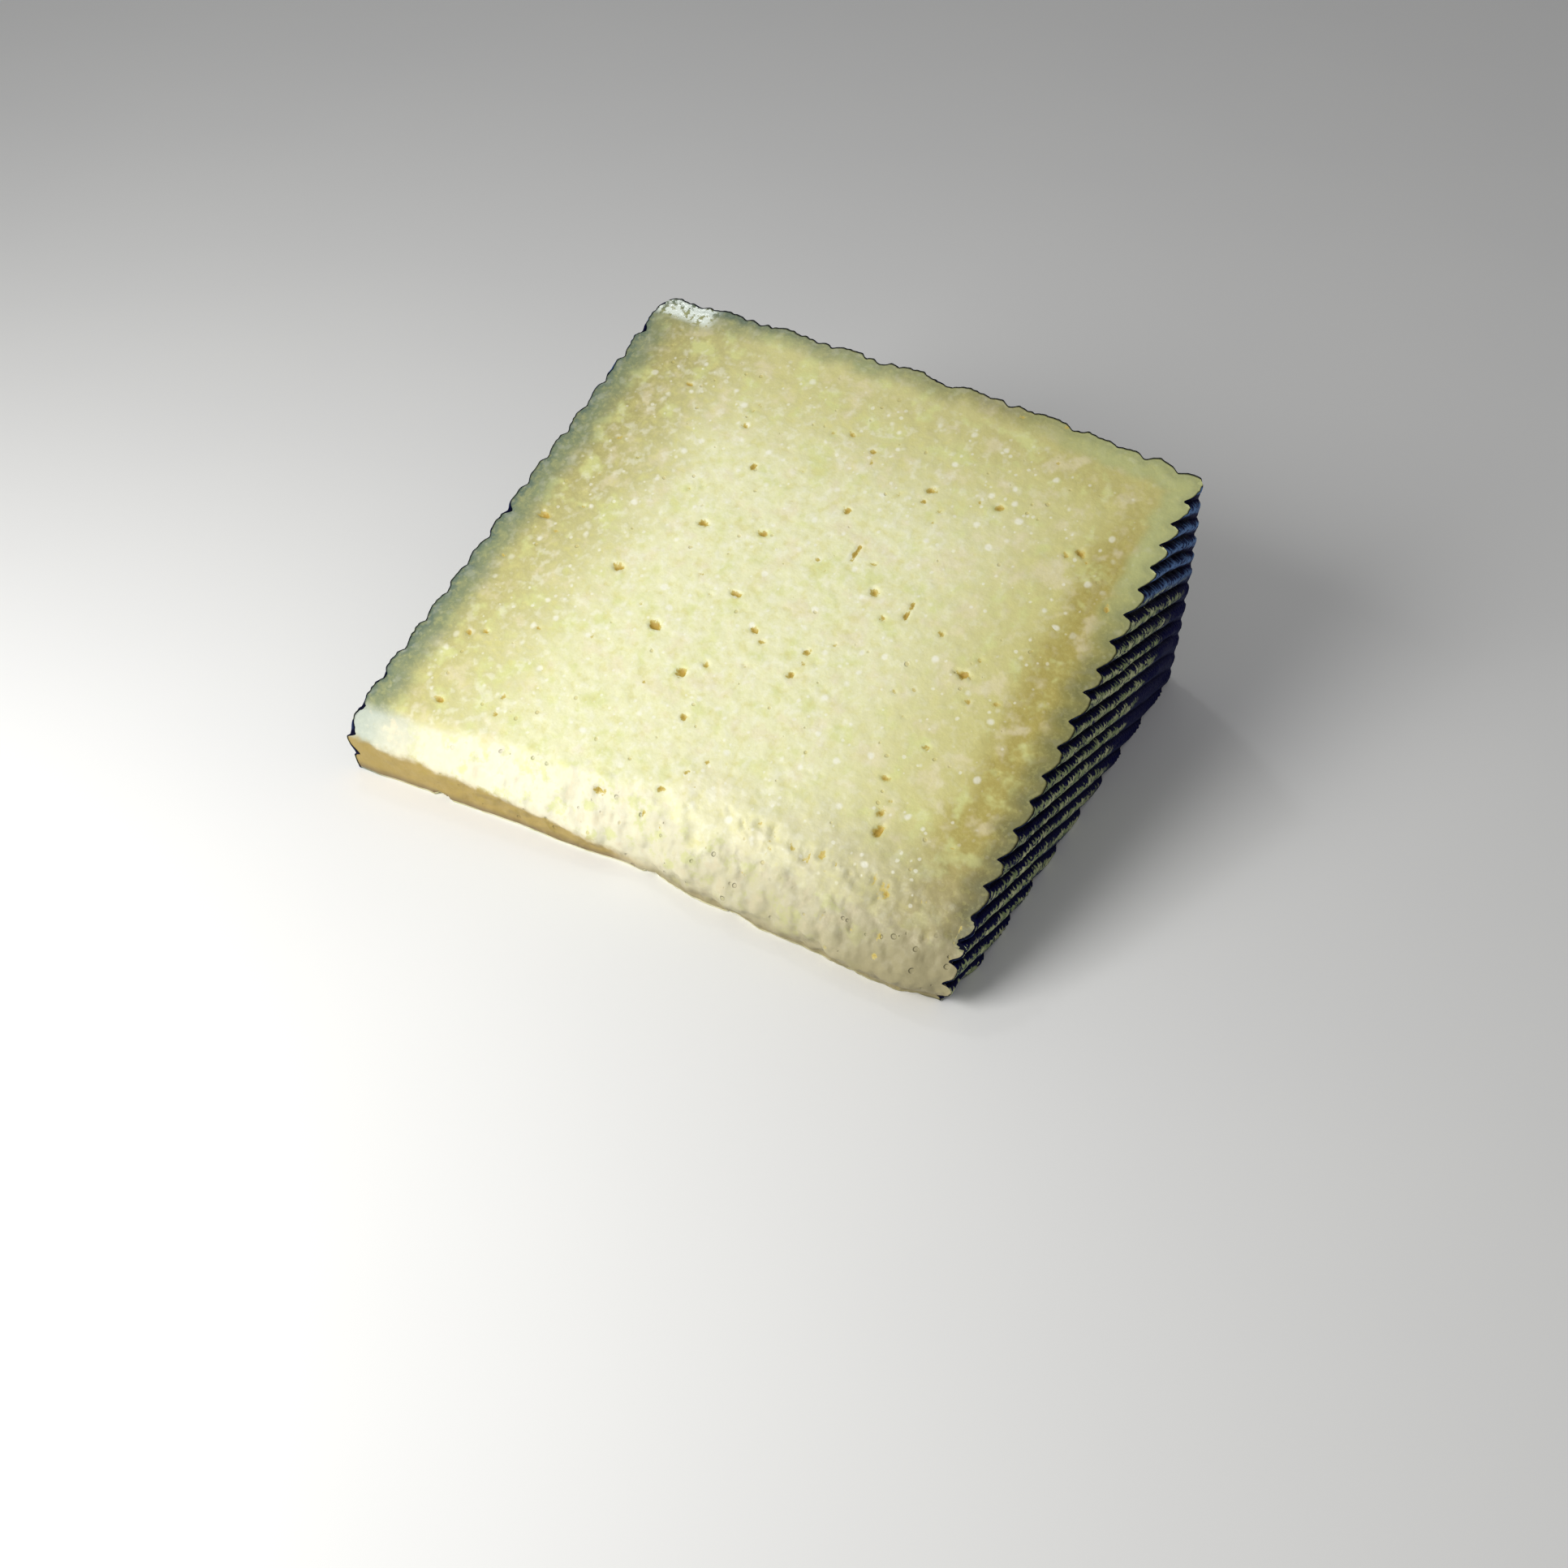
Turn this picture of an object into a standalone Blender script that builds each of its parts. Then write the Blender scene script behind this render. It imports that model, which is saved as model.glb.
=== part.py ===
"""A wedge of pressed sheep's cheese with a plaited rind, lying on one of its two cut faces.

The wheel that it was cut from stands on its rim, with its axle along X in front of the wedge's blunt tip. The
wheel's two flat faces are then the left and right sides, its rim is the far end, and the knife's two cuts are the
underside and the sloping top. The wheel is turned first. The boards and the belt of its mould then press their
strands into the rind, and the knife, the tip's slice and the eyes in the paste take away the rest.
"""

import random
from math import cos, exp, hypot, pi, radians, sin, tan

import bmesh
import bpy
from mathutils import Matrix, Vector, noise

MM = 0.001

# The wheel
WHEEL_RADIUS = 0.1100       # at the fullest place of the rim
WHEEL_HEIGHT = 0.0988       # between the flat faces, near the axle
AXLE_Y = -0.0637            # the axle lies on the ground plane, this far from the wedge's middle
LEFT_SLOPE = radians(1.87)  # the left flat face falls in towards the rim
RIM_FULLEST_X = -0.008      # the rim bulges most here
RIM_FALL = 0.0028           # how much less the radius is at the right flat face
EDGE_ROUND = 0.0042         # between the flat faces and the rim
EDGE_STEPS = 4
RIM_STEPS = 10
TURN_STEPS = 72

# The knife
CUT_ANGLE = radians(23.62)  # between the two cut faces
CUT_ROLL = radians(1.21)    # the upper cut rises a little to the left
TIP_FROM_AXLE = 0.0250      # where the tip was sliced off
TIP_HEIGHT = 0.01092        # under the upper cut, at the right end of the tip

# The mould's boards, which print parallel strands on the flat faces
STRAND_PITCH = 0.00346
STRAND_FALL = radians(30)   # the strands run outward and down
STRAND_DEPTH = 0.00115
STRAND_WAVER = 0.00035
STRAND_WEAR = 0.25          # how unevenly deep the print is
STRAND_PROFILE = ((0.0, -1.0), (0.45, -0.36), (0.8, 0.18))  # (share of the pitch, height over the depth)
FIRST_STRAND, STRAND_COUNT = -2, 24
BOARD_START, BOARD_STEP, BOARD_COLUMNS = -0.016, 0.0096, 10

# The mould's belt, which prints a plait in bands round the rim
BAND_COUNT = 9
BAND_SLANT = radians(36)
BAND_PROFILE = (0.0, 0.16, 0.84)  # shares of a band's width
PLAIT_PITCH = 0.0047
PLAIT_DEPTH = 0.00125
PLAIT_SEAM = 0.00150
PLAIT_PROUD = 0.00020
PLAIT_WEAR = 0.3

# The blunt tip
NOSE_REACH = 0.0011         # how far the tip leans over its foot
NOSE_HIGH, NOSE_LOW = 0.0050, 0.0026
NOSE_DIP_WIDTH = 0.011
BEVEL_BACK = 0.0030         # from the foot back to the upper cut's edge
TIP_BULGE = 0.0015          # of the crumbled right half, outward
TIP_BULGE_RISE = 0.6        # the same upward, as a share of it
CRUMB = 0.00055             # height of the crumbs on the right half
CLEAN_CRUMB = 0.2           # share of it that the left half keeps
COARSE_CRUMBS, FINE_CRUMBS = 260, 620  # noise cells per metre
CRUMBLE_RAMP = 0.016
FOOT_FORWARD = 0.0015       # the foot stands out from the slice's line, except at the right corner
FOOT_DRAWN = 0.0052         # further, towards the left end
FOOT_CURVE = 1.15
FOOT_BEND_X = 0.002
FOOT_CORNER = 0.006
TIP_COLUMNS, TIP_ROWS = 40, 8

# The eyes in the paste: x, y, length along X and width along the slope, all in mm
UPPER_EYES = (
    (-32.9, 22.1, 1.5, 0.8), (-19.9, 18.6, 1.3, 0.8), (-7.0, 3.7, 1.7, 0.9), (-16.9, 1.8, 1.6, 1.1),
    (13.4, 1.6, 1.9, 1.3), (16.7, -1.5, 1.2, 0.9), (31.4, -4.7, 2.6, 1.3), (-41.0, -6.2, 2.6, 1.0),
    (-24.8, -9.3, 2.2, 1.2), (0.0, -10.2, 1.7, 1.0), (-14.2, -15.1, 1.9, 1.5), (-6.3, -20.0, 1.5, 1.8),
    (30.9, -26.5, 1.3, 1.2), (32.0, -28.7, 1.2, 1.8), (29.1, -22.1, 1.3, 0.8), (37.9, 18.0, 1.3, 1.4),
    (23.6, 20.3, 1.1, 1.0), (12.8, 19.2, 1.4, 1.0), (7.6, 6.1, 0.7, 2.8), (19.6, 0.4, 0.8, 3.4),
    (36.5, -35.9, 2.0, 1.6), (31.8, -16.0, 1.2, 0.7), (0.8, -35.9, 1.2, 0.9), (-5.5, -6.4, 1.7, 0.8),
)
# The eyes on the tip: x in mm, share of the way up its slope and width in mm
TIP_EYES = (
    (-7.3, 0.75, 1.5), (10.0, 0.45, 1.2), (19.0, 0.80, 1.5), (27.5, 0.30, 1.3), (34.0, 0.60, 1.6), (41.0, 0.35, 1.3),
)
UNDER_EYE_COUNT = 12
UNDER_EYE_SPREAD = (0.042, 0.036)
EYE_SIDES, EYE_RINGS = 7, 4
EYE_DEPTH = 0.75            # share of the mean width
EYE_ROUGHNESS = 0.16
CHIP_X, CHIP_LONG, CHIP_WIDE = -0.0355, 0.0024, 0.0017
SEED = 11

MARGIN = 0.012              # how far cutters reach past the cheese
BELT_OVERHANG = 0.0010
SEAM_GAP = 0.000025         # points nearer than this are one


def clamp(value):
    """The value, kept between 0 and 1."""
    return max(0.0, min(1.0, value))


def smooth(value):
    """An S-shaped rise from 0 to 1."""
    value = clamp(value)
    return value * value * (3 - 2 * value)


def upper_cut(x, y):
    """Height of the upper cut face over the ground."""
    outward = y - AXLE_Y - TIP_FROM_AXLE
    return TIP_HEIGHT + outward * tan(CUT_ANGLE) + (WHEEL_HEIGHT / 2 - x) * tan(CUT_ROLL)


def rim_radius(x):
    """Radius of the wheel, which bulges gently between its flat faces."""
    away = abs(x - RIM_FULLEST_X) / (WHEEL_HEIGHT / 2 - RIM_FULLEST_X)
    return WHEEL_RADIUS - RIM_FALL * away ** 3


def side_x(side, radius):
    """Place along X of the right (side 1) or left (side -1) flat face, at a radius from the axle."""
    inward = tan(LEFT_SLOPE) * max(0.0, radius - TIP_FROM_AXLE) if side < 0 else 0.0
    return side * (WHEEL_HEIGHT / 2 - inward)


def material(name, colour, roughness):
    """A plain surface of one colour."""
    made = bpy.data.materials.new(name)
    made.use_nodes = True
    surface = made.node_tree.nodes["Principled BSDF"]
    surface.inputs["Base Color"].default_value = (*colour, 1)
    surface.inputs["Roughness"].default_value = roughness
    surface.inputs["Metallic"].default_value = 0
    return made


def add_object(name, bm, surface, collection):
    """Puts a finished mesh in a collection, under a name and in one material."""
    mesh = bpy.data.meshes.new(name)
    bm.to_mesh(mesh)
    bm.free()
    mesh.materials.append(surface)
    made = bpy.data.objects.new(name, mesh)
    collection.objects.link(made)
    return made


def add_cutter(name, bm, surface, collection):
    """A shape that is only taken away from the cheese."""
    bmesh.ops.recalc_face_normals(bm, faces=bm.faces)
    if bm.calc_volume(signed=True) < 0:
        bmesh.ops.reverse_faces(bm, faces=bm.faces)
    made = add_object(name, bm, surface, collection)
    made.hide_render = True
    made.display_type = "WIRE"
    return made


def block(columns, rows, front, back):
    """A closed block between two sheets of the same grid, each a function of the column and the row."""
    bm = bmesh.new()
    bmesh.ops.create_grid(bm, x_segments=columns, y_segments=rows, size=0.5)
    sheet = bm.verts[:]
    raised = bmesh.ops.extrude_face_region(bm, geom=bm.faces[:])["geom"]
    places = ((sheet, front), ([v for v in raised if isinstance(v, bmesh.types.BMVert)], back))
    for verts, place in places:
        for v in verts:
            v.co = place(round((v.co.x + 0.5) * columns), round((v.co.y + 0.5) * rows))
    return bm


def rounded_edge(side):
    """Points of the section round one edge of the wheel, from the flat face to the rim."""
    inner = side_x(side, WHEEL_RADIUS) - side * EDGE_ROUND
    middle = rim_radius(inner) - EDGE_ROUND
    turns = [pi / 2 * step / EDGE_STEPS for step in range(EDGE_STEPS + 1)]
    return [(inner + side * EDGE_ROUND * cos(turn), middle + EDGE_ROUND * sin(turn)) for turn in turns]


def wheel_section():
    """Half of the wheel's section as (x, radius), from the right face's middle round to the left one's."""
    right, left = rounded_edge(1), rounded_edge(-1)[::-1]
    start, end = right[-1][0], left[0][0]
    across = [start + (end - start) * step / RIM_STEPS for step in range(1, RIM_STEPS)]
    rim = [(x, rim_radius(x)) for x in across]
    faces = [[(side_x(side, radius), radius) for radius in (0, TIP_FROM_AXLE)] for side in (1, -1)]
    return faces[0] + right + rim + left + faces[1][::-1]


def turn_wheel(surface, collection):
    """The whole wheel: half of its section, turned about the axle."""
    bm = bmesh.new()
    verts = [bm.verts.new((x, 0, radius)) for x, radius in wheel_section()]
    for one, two in zip(verts, verts[1:]):
        bm.edges.new((one, two))
    wheel = add_object("cheese_wedge", bm, surface, collection)
    wheel.location = (0, AXLE_Y, 0)
    turned = wheel.modifiers.new("Turned", "SCREW")
    turned.axis = "X"
    turned.angle = 2 * pi
    turned.screw_offset = 0
    turned.steps = turned.render_steps = TURN_STEPS
    turned.use_merge_vertices = True
    turned.merge_threshold = 0.0001
    turned.use_normal_calculate = True
    return wheel


def board_mould(side):
    """The mould's board for one flat face: strands that run outward and down, steep on their upper side."""
    steps = len(STRAND_PROFILE)
    foot = AXLE_Y + TIP_FROM_AXLE

    def place(column, row, raised):
        strand, step = divmod(row, steps)
        share, height = STRAND_PROFILE[step]
        run = BOARD_START + column * BOARD_STEP
        waver = noise.noise(Vector((run * 45, strand * 0.37, side * 5)))
        over = (FIRST_STRAND + strand + share) * STRAND_PITCH + waver * STRAND_WAVER
        y = foot + run * cos(STRAND_FALL) + over * sin(STRAND_FALL)
        z = over * cos(STRAND_FALL) - run * sin(STRAND_FALL)
        if raised:
            return Vector((side * (WHEEL_HEIGHT / 2 + MARGIN), y, z))
        worn = 1 + STRAND_WEAR * noise.noise(Vector((y * 70, z * 70, side * 3)))
        return Vector((side_x(side, hypot(y - AXLE_Y, z)) + side * height * STRAND_DEPTH * worn, y, z))

    rows = STRAND_COUNT * steps
    return block(BOARD_COLUMNS, rows, lambda i, j: place(i, j, False), lambda i, j: place(i, j, True))


def belt_mould():
    """The mould's belt: bands side by side round the rim, whose strands slant to and fro like a plait."""
    steps = len(BAND_PROFILE)
    width = (WHEEL_HEIGHT + 2 * BELT_OVERHANG) / BAND_COUNT
    rows = round((CUT_ANGLE * WHEEL_RADIUS + 2 * MARGIN) / (PLAIT_PITCH / 2))

    def place(column, row, raised):
        band, step = divmod(column, steps)
        share = BAND_PROFILE[step]
        x = (band + share) * width - WHEEL_HEIGHT / 2 - BELT_OVERHANG
        slant = (share - 0.5) * width * tan(BAND_SLANT) * (1 if band % 2 else -1)
        waver = noise.noise(Vector((x * 60, row * 0.41, 7)))
        turn = (row * PLAIT_PITCH / 2 - MARGIN + slant + waver * STRAND_WAVER) / WHEEL_RADIUS
        height = -PLAIT_SEAM if step == 0 else (-PLAIT_DEPTH, PLAIT_PROUD)[row % 2]
        radius = rim_radius(x) + (MARGIN if raised else height * (1 + PLAIT_WEAR * waver))
        return Vector((x, AXLE_Y + radius * cos(turn), radius * sin(turn)))

    return block(BAND_COUNT * steps, rows, lambda i, j: place(i, j, False), lambda i, j: place(i, j, True))


def tip_foot(x):
    """Where the tip stands on the ground: straight across the right half, drawn out towards the left end."""
    drawn = clamp((FOOT_BEND_X - x) / (WHEEL_HEIGHT / 2 + FOOT_BEND_X)) ** FOOT_CURVE
    corner = smooth((x - WHEEL_HEIGHT / 2) / FOOT_CORNER + 1)
    return AXLE_Y + TIP_FROM_AXLE - FOOT_FORWARD - FOOT_DRAWN * drawn + FOOT_FORWARD * corner


def crumbled(x):
    """How far the tip is crumbled rather than sliced clean: 0 on the left, 1 on the right."""
    return smooth((x - FOOT_BEND_X) / CRUMBLE_RAMP + 0.5)


def tip_nose(x):
    """The place (y, z) where the tip reaches furthest forward."""
    dip = exp(-((x - FOOT_BEND_X) / NOSE_DIP_WIDTH) ** 2)
    return tip_foot(x) - NOSE_REACH, NOSE_HIGH + (NOSE_LOW - NOSE_HIGH) * dip


def tip_slope(x, share):
    """The place (y, z) on the slope over the nose, at a share of the way up to the upper cut."""
    y, z = tip_nose(x)
    edge_y = tip_foot(x) + BEVEL_BACK
    bulge = TIP_BULGE * crumbled(x) * sin(pi * clamp(share))
    return y + (edge_y - y) * share - bulge, z + (upper_cut(x, edge_y) - z) * share + bulge * TIP_BULGE_RISE


def tip_slice():
    """What was cut off the tip: an undercut facet under a bevel on the left, a crumbled slope on the right."""

    def place(column, row, beyond):
        x = (column / TIP_COLUMNS - 0.5) * (WHEEL_HEIGHT + 2 * MARGIN)
        if row == 0:
            y, z = tip_foot(x) + NOSE_REACH / 2, -MARGIN / 4
        elif row == 1:
            y, z = tip_foot(x) - NOSE_REACH / 2, tip_nose(x)[1] / 2
        else:
            y, z = tip_slope(x, (row - 2) / (TIP_ROWS - 3))
        if beyond:
            return Vector((x, AXLE_Y - MARGIN, z))
        coarse, fine = (noise.noise(Vector((x, z, 0)) * scale) for scale in (COARSE_CRUMBS, FINE_CRUMBS))
        height = CRUMB * (CLEAN_CRUMB + (1 - CLEAN_CRUMB) * crumbled(x))
        return Vector((x, y + (coarse + fine / 2) * height, z))

    return block(TIP_COLUMNS, TIP_ROWS, lambda i, j: place(i, j, False), lambda i, j: place(i, j, True))


def knife_block(origin, normal):
    """Everything on the far side of a flat cut."""
    size = 4 * WHEEL_RADIUS
    turned = normal.to_track_quat("Z", "Y").to_matrix().to_4x4()
    bm = bmesh.new()
    bmesh.ops.create_cube(bm, size=size, matrix=Matrix.Translation(origin + normal * size / 2) @ turned)
    return bm


def eye(centre, size, draw):
    """A hollow left by gas: a small round blob, squashed and made uneven."""
    bm = bmesh.new()
    bmesh.ops.create_uvsphere(bm, u_segments=EYE_SIDES, v_segments=EYE_RINGS, radius=0.5)
    for v in bm.verts:
        uneven = 1 + draw.uniform(-EYE_ROUGHNESS, EYE_ROUGHNESS)
        v.co = centre + Vector(a * b for a, b in zip(v.co, size)) * uneven
    return bm


def eyes(draw):
    """The eyes on the upper cut, on the tip and on the underside, and the chip out of the tip's foot."""
    for x, y, long, wide in UPPER_EYES:
        depth = EYE_DEPTH * (long + wide)
        yield eye(Vector((x * MM, y * MM, upper_cut(x * MM, y * MM))), Vector((long, wide, depth)) * MM, draw)
    for x, share, wide in TIP_EYES:
        yield eye(Vector((x * MM, *tip_slope(x * MM, share))), Vector((wide, wide, wide)) * MM, draw)
    for _ in range(UNDER_EYE_COUNT):
        x, y = (draw.uniform(-spread, spread) for spread in UNDER_EYE_SPREAD)
        long, wide = draw.uniform(1.1, 2.2), draw.uniform(0.8, 1.5)
        yield eye(Vector((x, y, 0)), Vector((long, wide, long)) * MM, draw)
    yield eye(Vector((CHIP_X, tip_foot(CHIP_X), 0)), Vector((CHIP_LONG, CHIP_WIDE, CHIP_WIDE)), draw)


def cut_wedge(wheel, cutters):
    """Takes every cutter out of the wheel, makes all faces triangles and closes their seams."""
    cut = wheel.modifiers.new("Pressed and cut", "BOOLEAN")
    cut.operation = "DIFFERENCE"
    cut.operand_type = "COLLECTION"
    cut.collection = cutters
    cut.solver = "EXACT"
    cut.material_mode = "TRANSFER"
    facets = wheel.modifiers.new("Facets", "TRIANGULATE")
    facets.quad_method = facets.ngon_method = "BEAUTY"
    weld = wheel.modifiers.new("Seams", "WELD")
    weld.merge_threshold = SEAM_GAP


def main():
    for old in list(bpy.data.objects):
        bpy.data.objects.remove(old)
    cheese = bpy.data.collections.new("Cheese")
    cutters = bpy.data.collections.new("Mould and knife")
    for collection in (cheese, cutters):
        bpy.context.scene.collection.children.link(collection)
    rind = material("Dark plaited rind", (0.022, 0.026, 0.030), 0.55)
    paste = material("Pale pressed paste", (0.76, 0.71, 0.40), 0.42)
    draw = random.Random(SEED)

    wheel = turn_wheel(rind, cheese)
    add_cutter("right_board", board_mould(1), rind, cutters)
    add_cutter("left_board", board_mould(-1), rind, cutters)
    add_cutter("belt", belt_mould(), rind, cutters)
    upward = Vector((tan(CUT_ROLL), -tan(CUT_ANGLE), 1)).normalized()
    corner = Vector((WHEEL_HEIGHT / 2, AXLE_Y + TIP_FROM_AXLE, TIP_HEIGHT))
    add_cutter("upper_knife", knife_block(corner, upward), paste, cutters)
    add_cutter("lower_knife", knife_block(Vector((0, 0, 0)), Vector((0, 0, -1))), paste, cutters)
    add_cutter("tip_slice", tip_slice(), paste, cutters)
    for number, hollow in enumerate(eyes(draw), 1):
        add_cutter(f"eye_{number:02d}", hollow, paste, cutters)
    cut_wedge(wheel, cutters)


main()
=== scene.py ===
"""A wedge of pressed sheep's milk cheese with a plaited rind, dressed over its CAD solid.

The wheel that the wedge was cut from stands on its rim, with its axle along X in front of the wedge's blunt
tip. A point is then a place along X, a radius from the axle and a turn about it: the underside is at turn
0, and the sloping upper cut is at the turn that the knife gives. The rind is three skins, one on each flat
face of the wheel and one on its rim, and the paste is one piece that fills the space between them.
"""

import logging
import math
from dataclasses import dataclass
from enum import Enum
from functools import reduce

import bmesh
import bpy
import numpy as np
from mathutils import Matrix, Vector


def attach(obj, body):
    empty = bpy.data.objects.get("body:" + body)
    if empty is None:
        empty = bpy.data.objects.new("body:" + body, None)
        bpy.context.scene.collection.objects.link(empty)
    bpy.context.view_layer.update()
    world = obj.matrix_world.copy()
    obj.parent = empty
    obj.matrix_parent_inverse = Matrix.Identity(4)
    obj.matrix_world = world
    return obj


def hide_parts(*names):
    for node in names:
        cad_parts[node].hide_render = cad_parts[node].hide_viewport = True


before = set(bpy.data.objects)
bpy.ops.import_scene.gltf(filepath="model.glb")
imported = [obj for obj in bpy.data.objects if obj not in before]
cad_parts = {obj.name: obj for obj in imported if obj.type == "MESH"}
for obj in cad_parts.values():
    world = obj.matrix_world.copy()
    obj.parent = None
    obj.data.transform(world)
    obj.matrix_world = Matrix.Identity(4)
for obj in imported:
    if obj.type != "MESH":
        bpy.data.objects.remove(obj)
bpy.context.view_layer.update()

Array = np.ndarray
Colour = tuple[float, float, float]
Socket = bpy.types.NodeSocket

log = logging.getLogger("cheese")

MM = 0.001
NODE = "cheese_wedge"
BODY = "root"


class Side(Enum):
    """The wheel's two flat faces."""

    LEFT = -1
    RIGHT = 1


class Slot(Enum):
    """The record's material slots."""

    PASTE = "paste"
    RIND = "rind"


def paint(red: int, green: int, blue: int) -> Colour:
    """A colour as the eye reads it on a screen, turned into light.

    Args:
        red: Red, from 0 to 255.
        green: Green, from 0 to 255.
        blue: Blue, from 0 to 255.

    Returns:
        The same colour in linear light: each value over 255, to the power 2.4 above the dark toe.
    """
    values = np.array((red, green, blue)) / 255
    linear = np.where(values > 0.04045, ((values + 0.055) / 1.055) ** 2.4, values / 12.92)
    return tuple(float(value) for value in linear)


def smooth(value: Array | float) -> Array:
    """An S-shaped rise from 0 to 1: 3 v^2 - 2 v^3, with v kept between 0 and 1."""
    kept = np.clip(value, 0.0, 1.0)
    return kept * kept * (3 - 2 * kept)


def smooth_max(one: Array, two: Array, reach: Array | float) -> Array:
    """max(one, two), plus (reach - |one - two|)^2 / (4 reach) where the two are nearer than reach."""
    near = np.maximum(reach - np.abs(one - two), 0.0)
    return np.maximum(one, two) + near * near / (4 * reach)


@dataclass(frozen=True)
class Grain:
    """Smooth random relief in space, the same each run.

    Attributes:
        seed: Which of the many patterns this is.
    """

    seed: int

    def corner(self, x: Array, y: Array, z: Array) -> Array:
        """Random numbers for the corners of a lattice.

        Args:
            x: Whole numbers.
            y: Whole numbers.
            z: Whole numbers.

        Returns:
            Numbers from -1 to 1, from the bits of a product of large primes.
        """
        mixed = (x * 374761393 + y * 668265263 + z * 1274126177 + self.seed * 974634777) & 0xFFFFFFFF
        mixed = ((mixed ^ (mixed >> 13)) * 1103515245) & 0xFFFFFFFF
        mixed = ((mixed ^ (mixed >> 16)) * 2246822519) & 0xFFFFFFFF
        return ((mixed ^ (mixed >> 15)) & 0xFFFFFF) / float(0x7FFFFF) - 1

    def at(self, x: Array, y: Array, z: Array | float = 0.0) -> Array:
        """The relief at places whose unit is one lattice cell.

        Args:
            x: First coordinate.
            y: Second coordinate.
            z: Third coordinate.

        Returns:
            The eight corner numbers round each place, blended along each axis with an S-shaped weight.
        """
        x, y, z = np.broadcast_arrays(np.asarray(x, float), np.asarray(y, float), np.asarray(z, float))
        cell = [np.floor(axis).astype(np.int64) for axis in (x, y, z)]
        weight = [smooth(axis - low) for axis, low in zip((x, y, z), cell)]
        total = np.zeros(x.shape)
        for dx in (0, 1):
            for dy in (0, 1):
                for dz in (0, 1):
                    share = np.ones(x.shape)
                    for step, part in zip((dx, dy, dz), weight):
                        share = share * (part if step else 1 - part)
                    total += share * self.corner(cell[0] + dx, cell[1] + dy, cell[2] + dz)
        return total

    def layers(self, x: Array, y: Array, z: Array | float, count: int) -> Array:
        """Several sizes of relief on top of each other, each half as large and half as high as the last.

        Args:
            x: First coordinate.
            y: Second coordinate.
            z: Third coordinate.
            count: How many sizes.

        Returns:
            The summed relief.
        """
        total = self.at(x, y, z)
        for layer in range(1, count):
            scale = 2.03 ** layer
            total = total + self.at(x * scale + layer, y * scale, np.asarray(z) * scale) / 2 ** layer
        return total


@dataclass(frozen=True)
class Wheel:
    """The whole cheese: two flat faces, a gently bulging rim and a rounded edge between them."""

    radius: float = 0.1100
    height: float = 0.0988
    axle_y: float = -0.0637
    left_slope: float = math.radians(1.87)
    core: float = 0.0250
    rim_fullest_x: float = -0.008
    rim_fall: float = 0.0028
    left_edge_round: float = 0.0042
    right_edge_round: float = 0.0018
    right_core_out: float = 0.0004
    right_edge_in: float = 0.0004

    def edge_round(self, side: Side) -> float:
        """How round the edge of one flat face is."""
        return self.left_edge_round if side is Side.LEFT else self.right_edge_round

    def rim_radius(self, x: Array | float) -> Array:
        """The rim's radius, less by the cube of the distance from its fullest place."""
        away = np.abs(np.asarray(x) - self.rim_fullest_x) / (self.height / 2 - self.rim_fullest_x)
        return self.radius - self.rim_fall * away ** 3

    def edge_middle(self, side: Side) -> tuple[float, float]:
        """The middle of the quarter circle that rounds the edge of one flat face.

        Args:
            side: Which flat face.

        Returns:
            Its place along X and its radius from the axle.
        """
        left_fall = math.tan(self.left_slope) * (self.radius - self.core)
        fall = left_fall if side is Side.LEFT else self.right_edge_in
        inner = side.value * (self.height / 2 - fall - self.edge_round(side))
        return inner, float(self.rim_radius(inner)) - self.edge_round(side)

    def face_x(self, side: Side, radius: Array) -> Array:
        """Place along X of a flat face, on a straight line from its core to its rounded edge.

        Args:
            side: Which flat face.
            radius: Distance from the axle.

        Returns:
            The places.
        """
        inner, middle = self.edge_middle(side)
        outer = inner + side.value * self.edge_round(side)
        share = np.clip((radius - self.core) / (middle - self.core), 0.0, 1.0)
        start = side.value * self.height / 2 + (self.right_core_out if side is Side.RIGHT else 0.0)
        return start + (outer - start) * share

    def points(self, x: Array, radius: Array, turn: Array) -> Array:
        """Places in space: x, axle + radius cos(turn) and radius sin(turn), on a last axis of three."""
        x, radius, turn = np.broadcast_arrays(x, radius, turn)
        return np.stack([x, self.axle_y + radius * np.cos(turn), radius * np.sin(turn)], axis=-1)


@dataclass(frozen=True)
class Knife:
    """The upper cut, a plane that rises towards the rim and a little towards the left."""

    wheel: Wheel
    angle: float = math.radians(23.62)
    roll: float = math.radians(1.21)
    tip_from_axle: float = 0.0250
    tip_height: float = 0.01092

    def rise(self, x: Array | float) -> Array:
        """Height of the upper cut over the tip's line."""
        return self.tip_height + (self.wheel.height / 2 - np.asarray(x)) * math.tan(self.roll)

    def upper_cut(self, x: Array, y: Array) -> Array:
        """Height of the upper cut: that over the tip's line, plus the distance from it times the slope."""
        return self.rise(x) + (y - self.wheel.axle_y - self.tip_from_axle) * math.tan(self.angle)

    def upper_turn(self, x: Array, radius: Array) -> Array:
        """Turn where a circle meets the upper cut: its angle plus arcsin(its distance / radius)."""
        offset = (self.rise(x) - self.tip_from_axle * math.tan(self.angle)) * math.cos(self.angle)
        return self.angle + np.arcsin(np.clip(offset / radius, -1.0, 1.0))

    @property
    def normal(self) -> Array:
        """The upper cut's outward normal."""
        raw = np.array([math.tan(self.roll), -math.tan(self.angle), 1.0])
        return raw / np.linalg.norm(raw)


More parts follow.
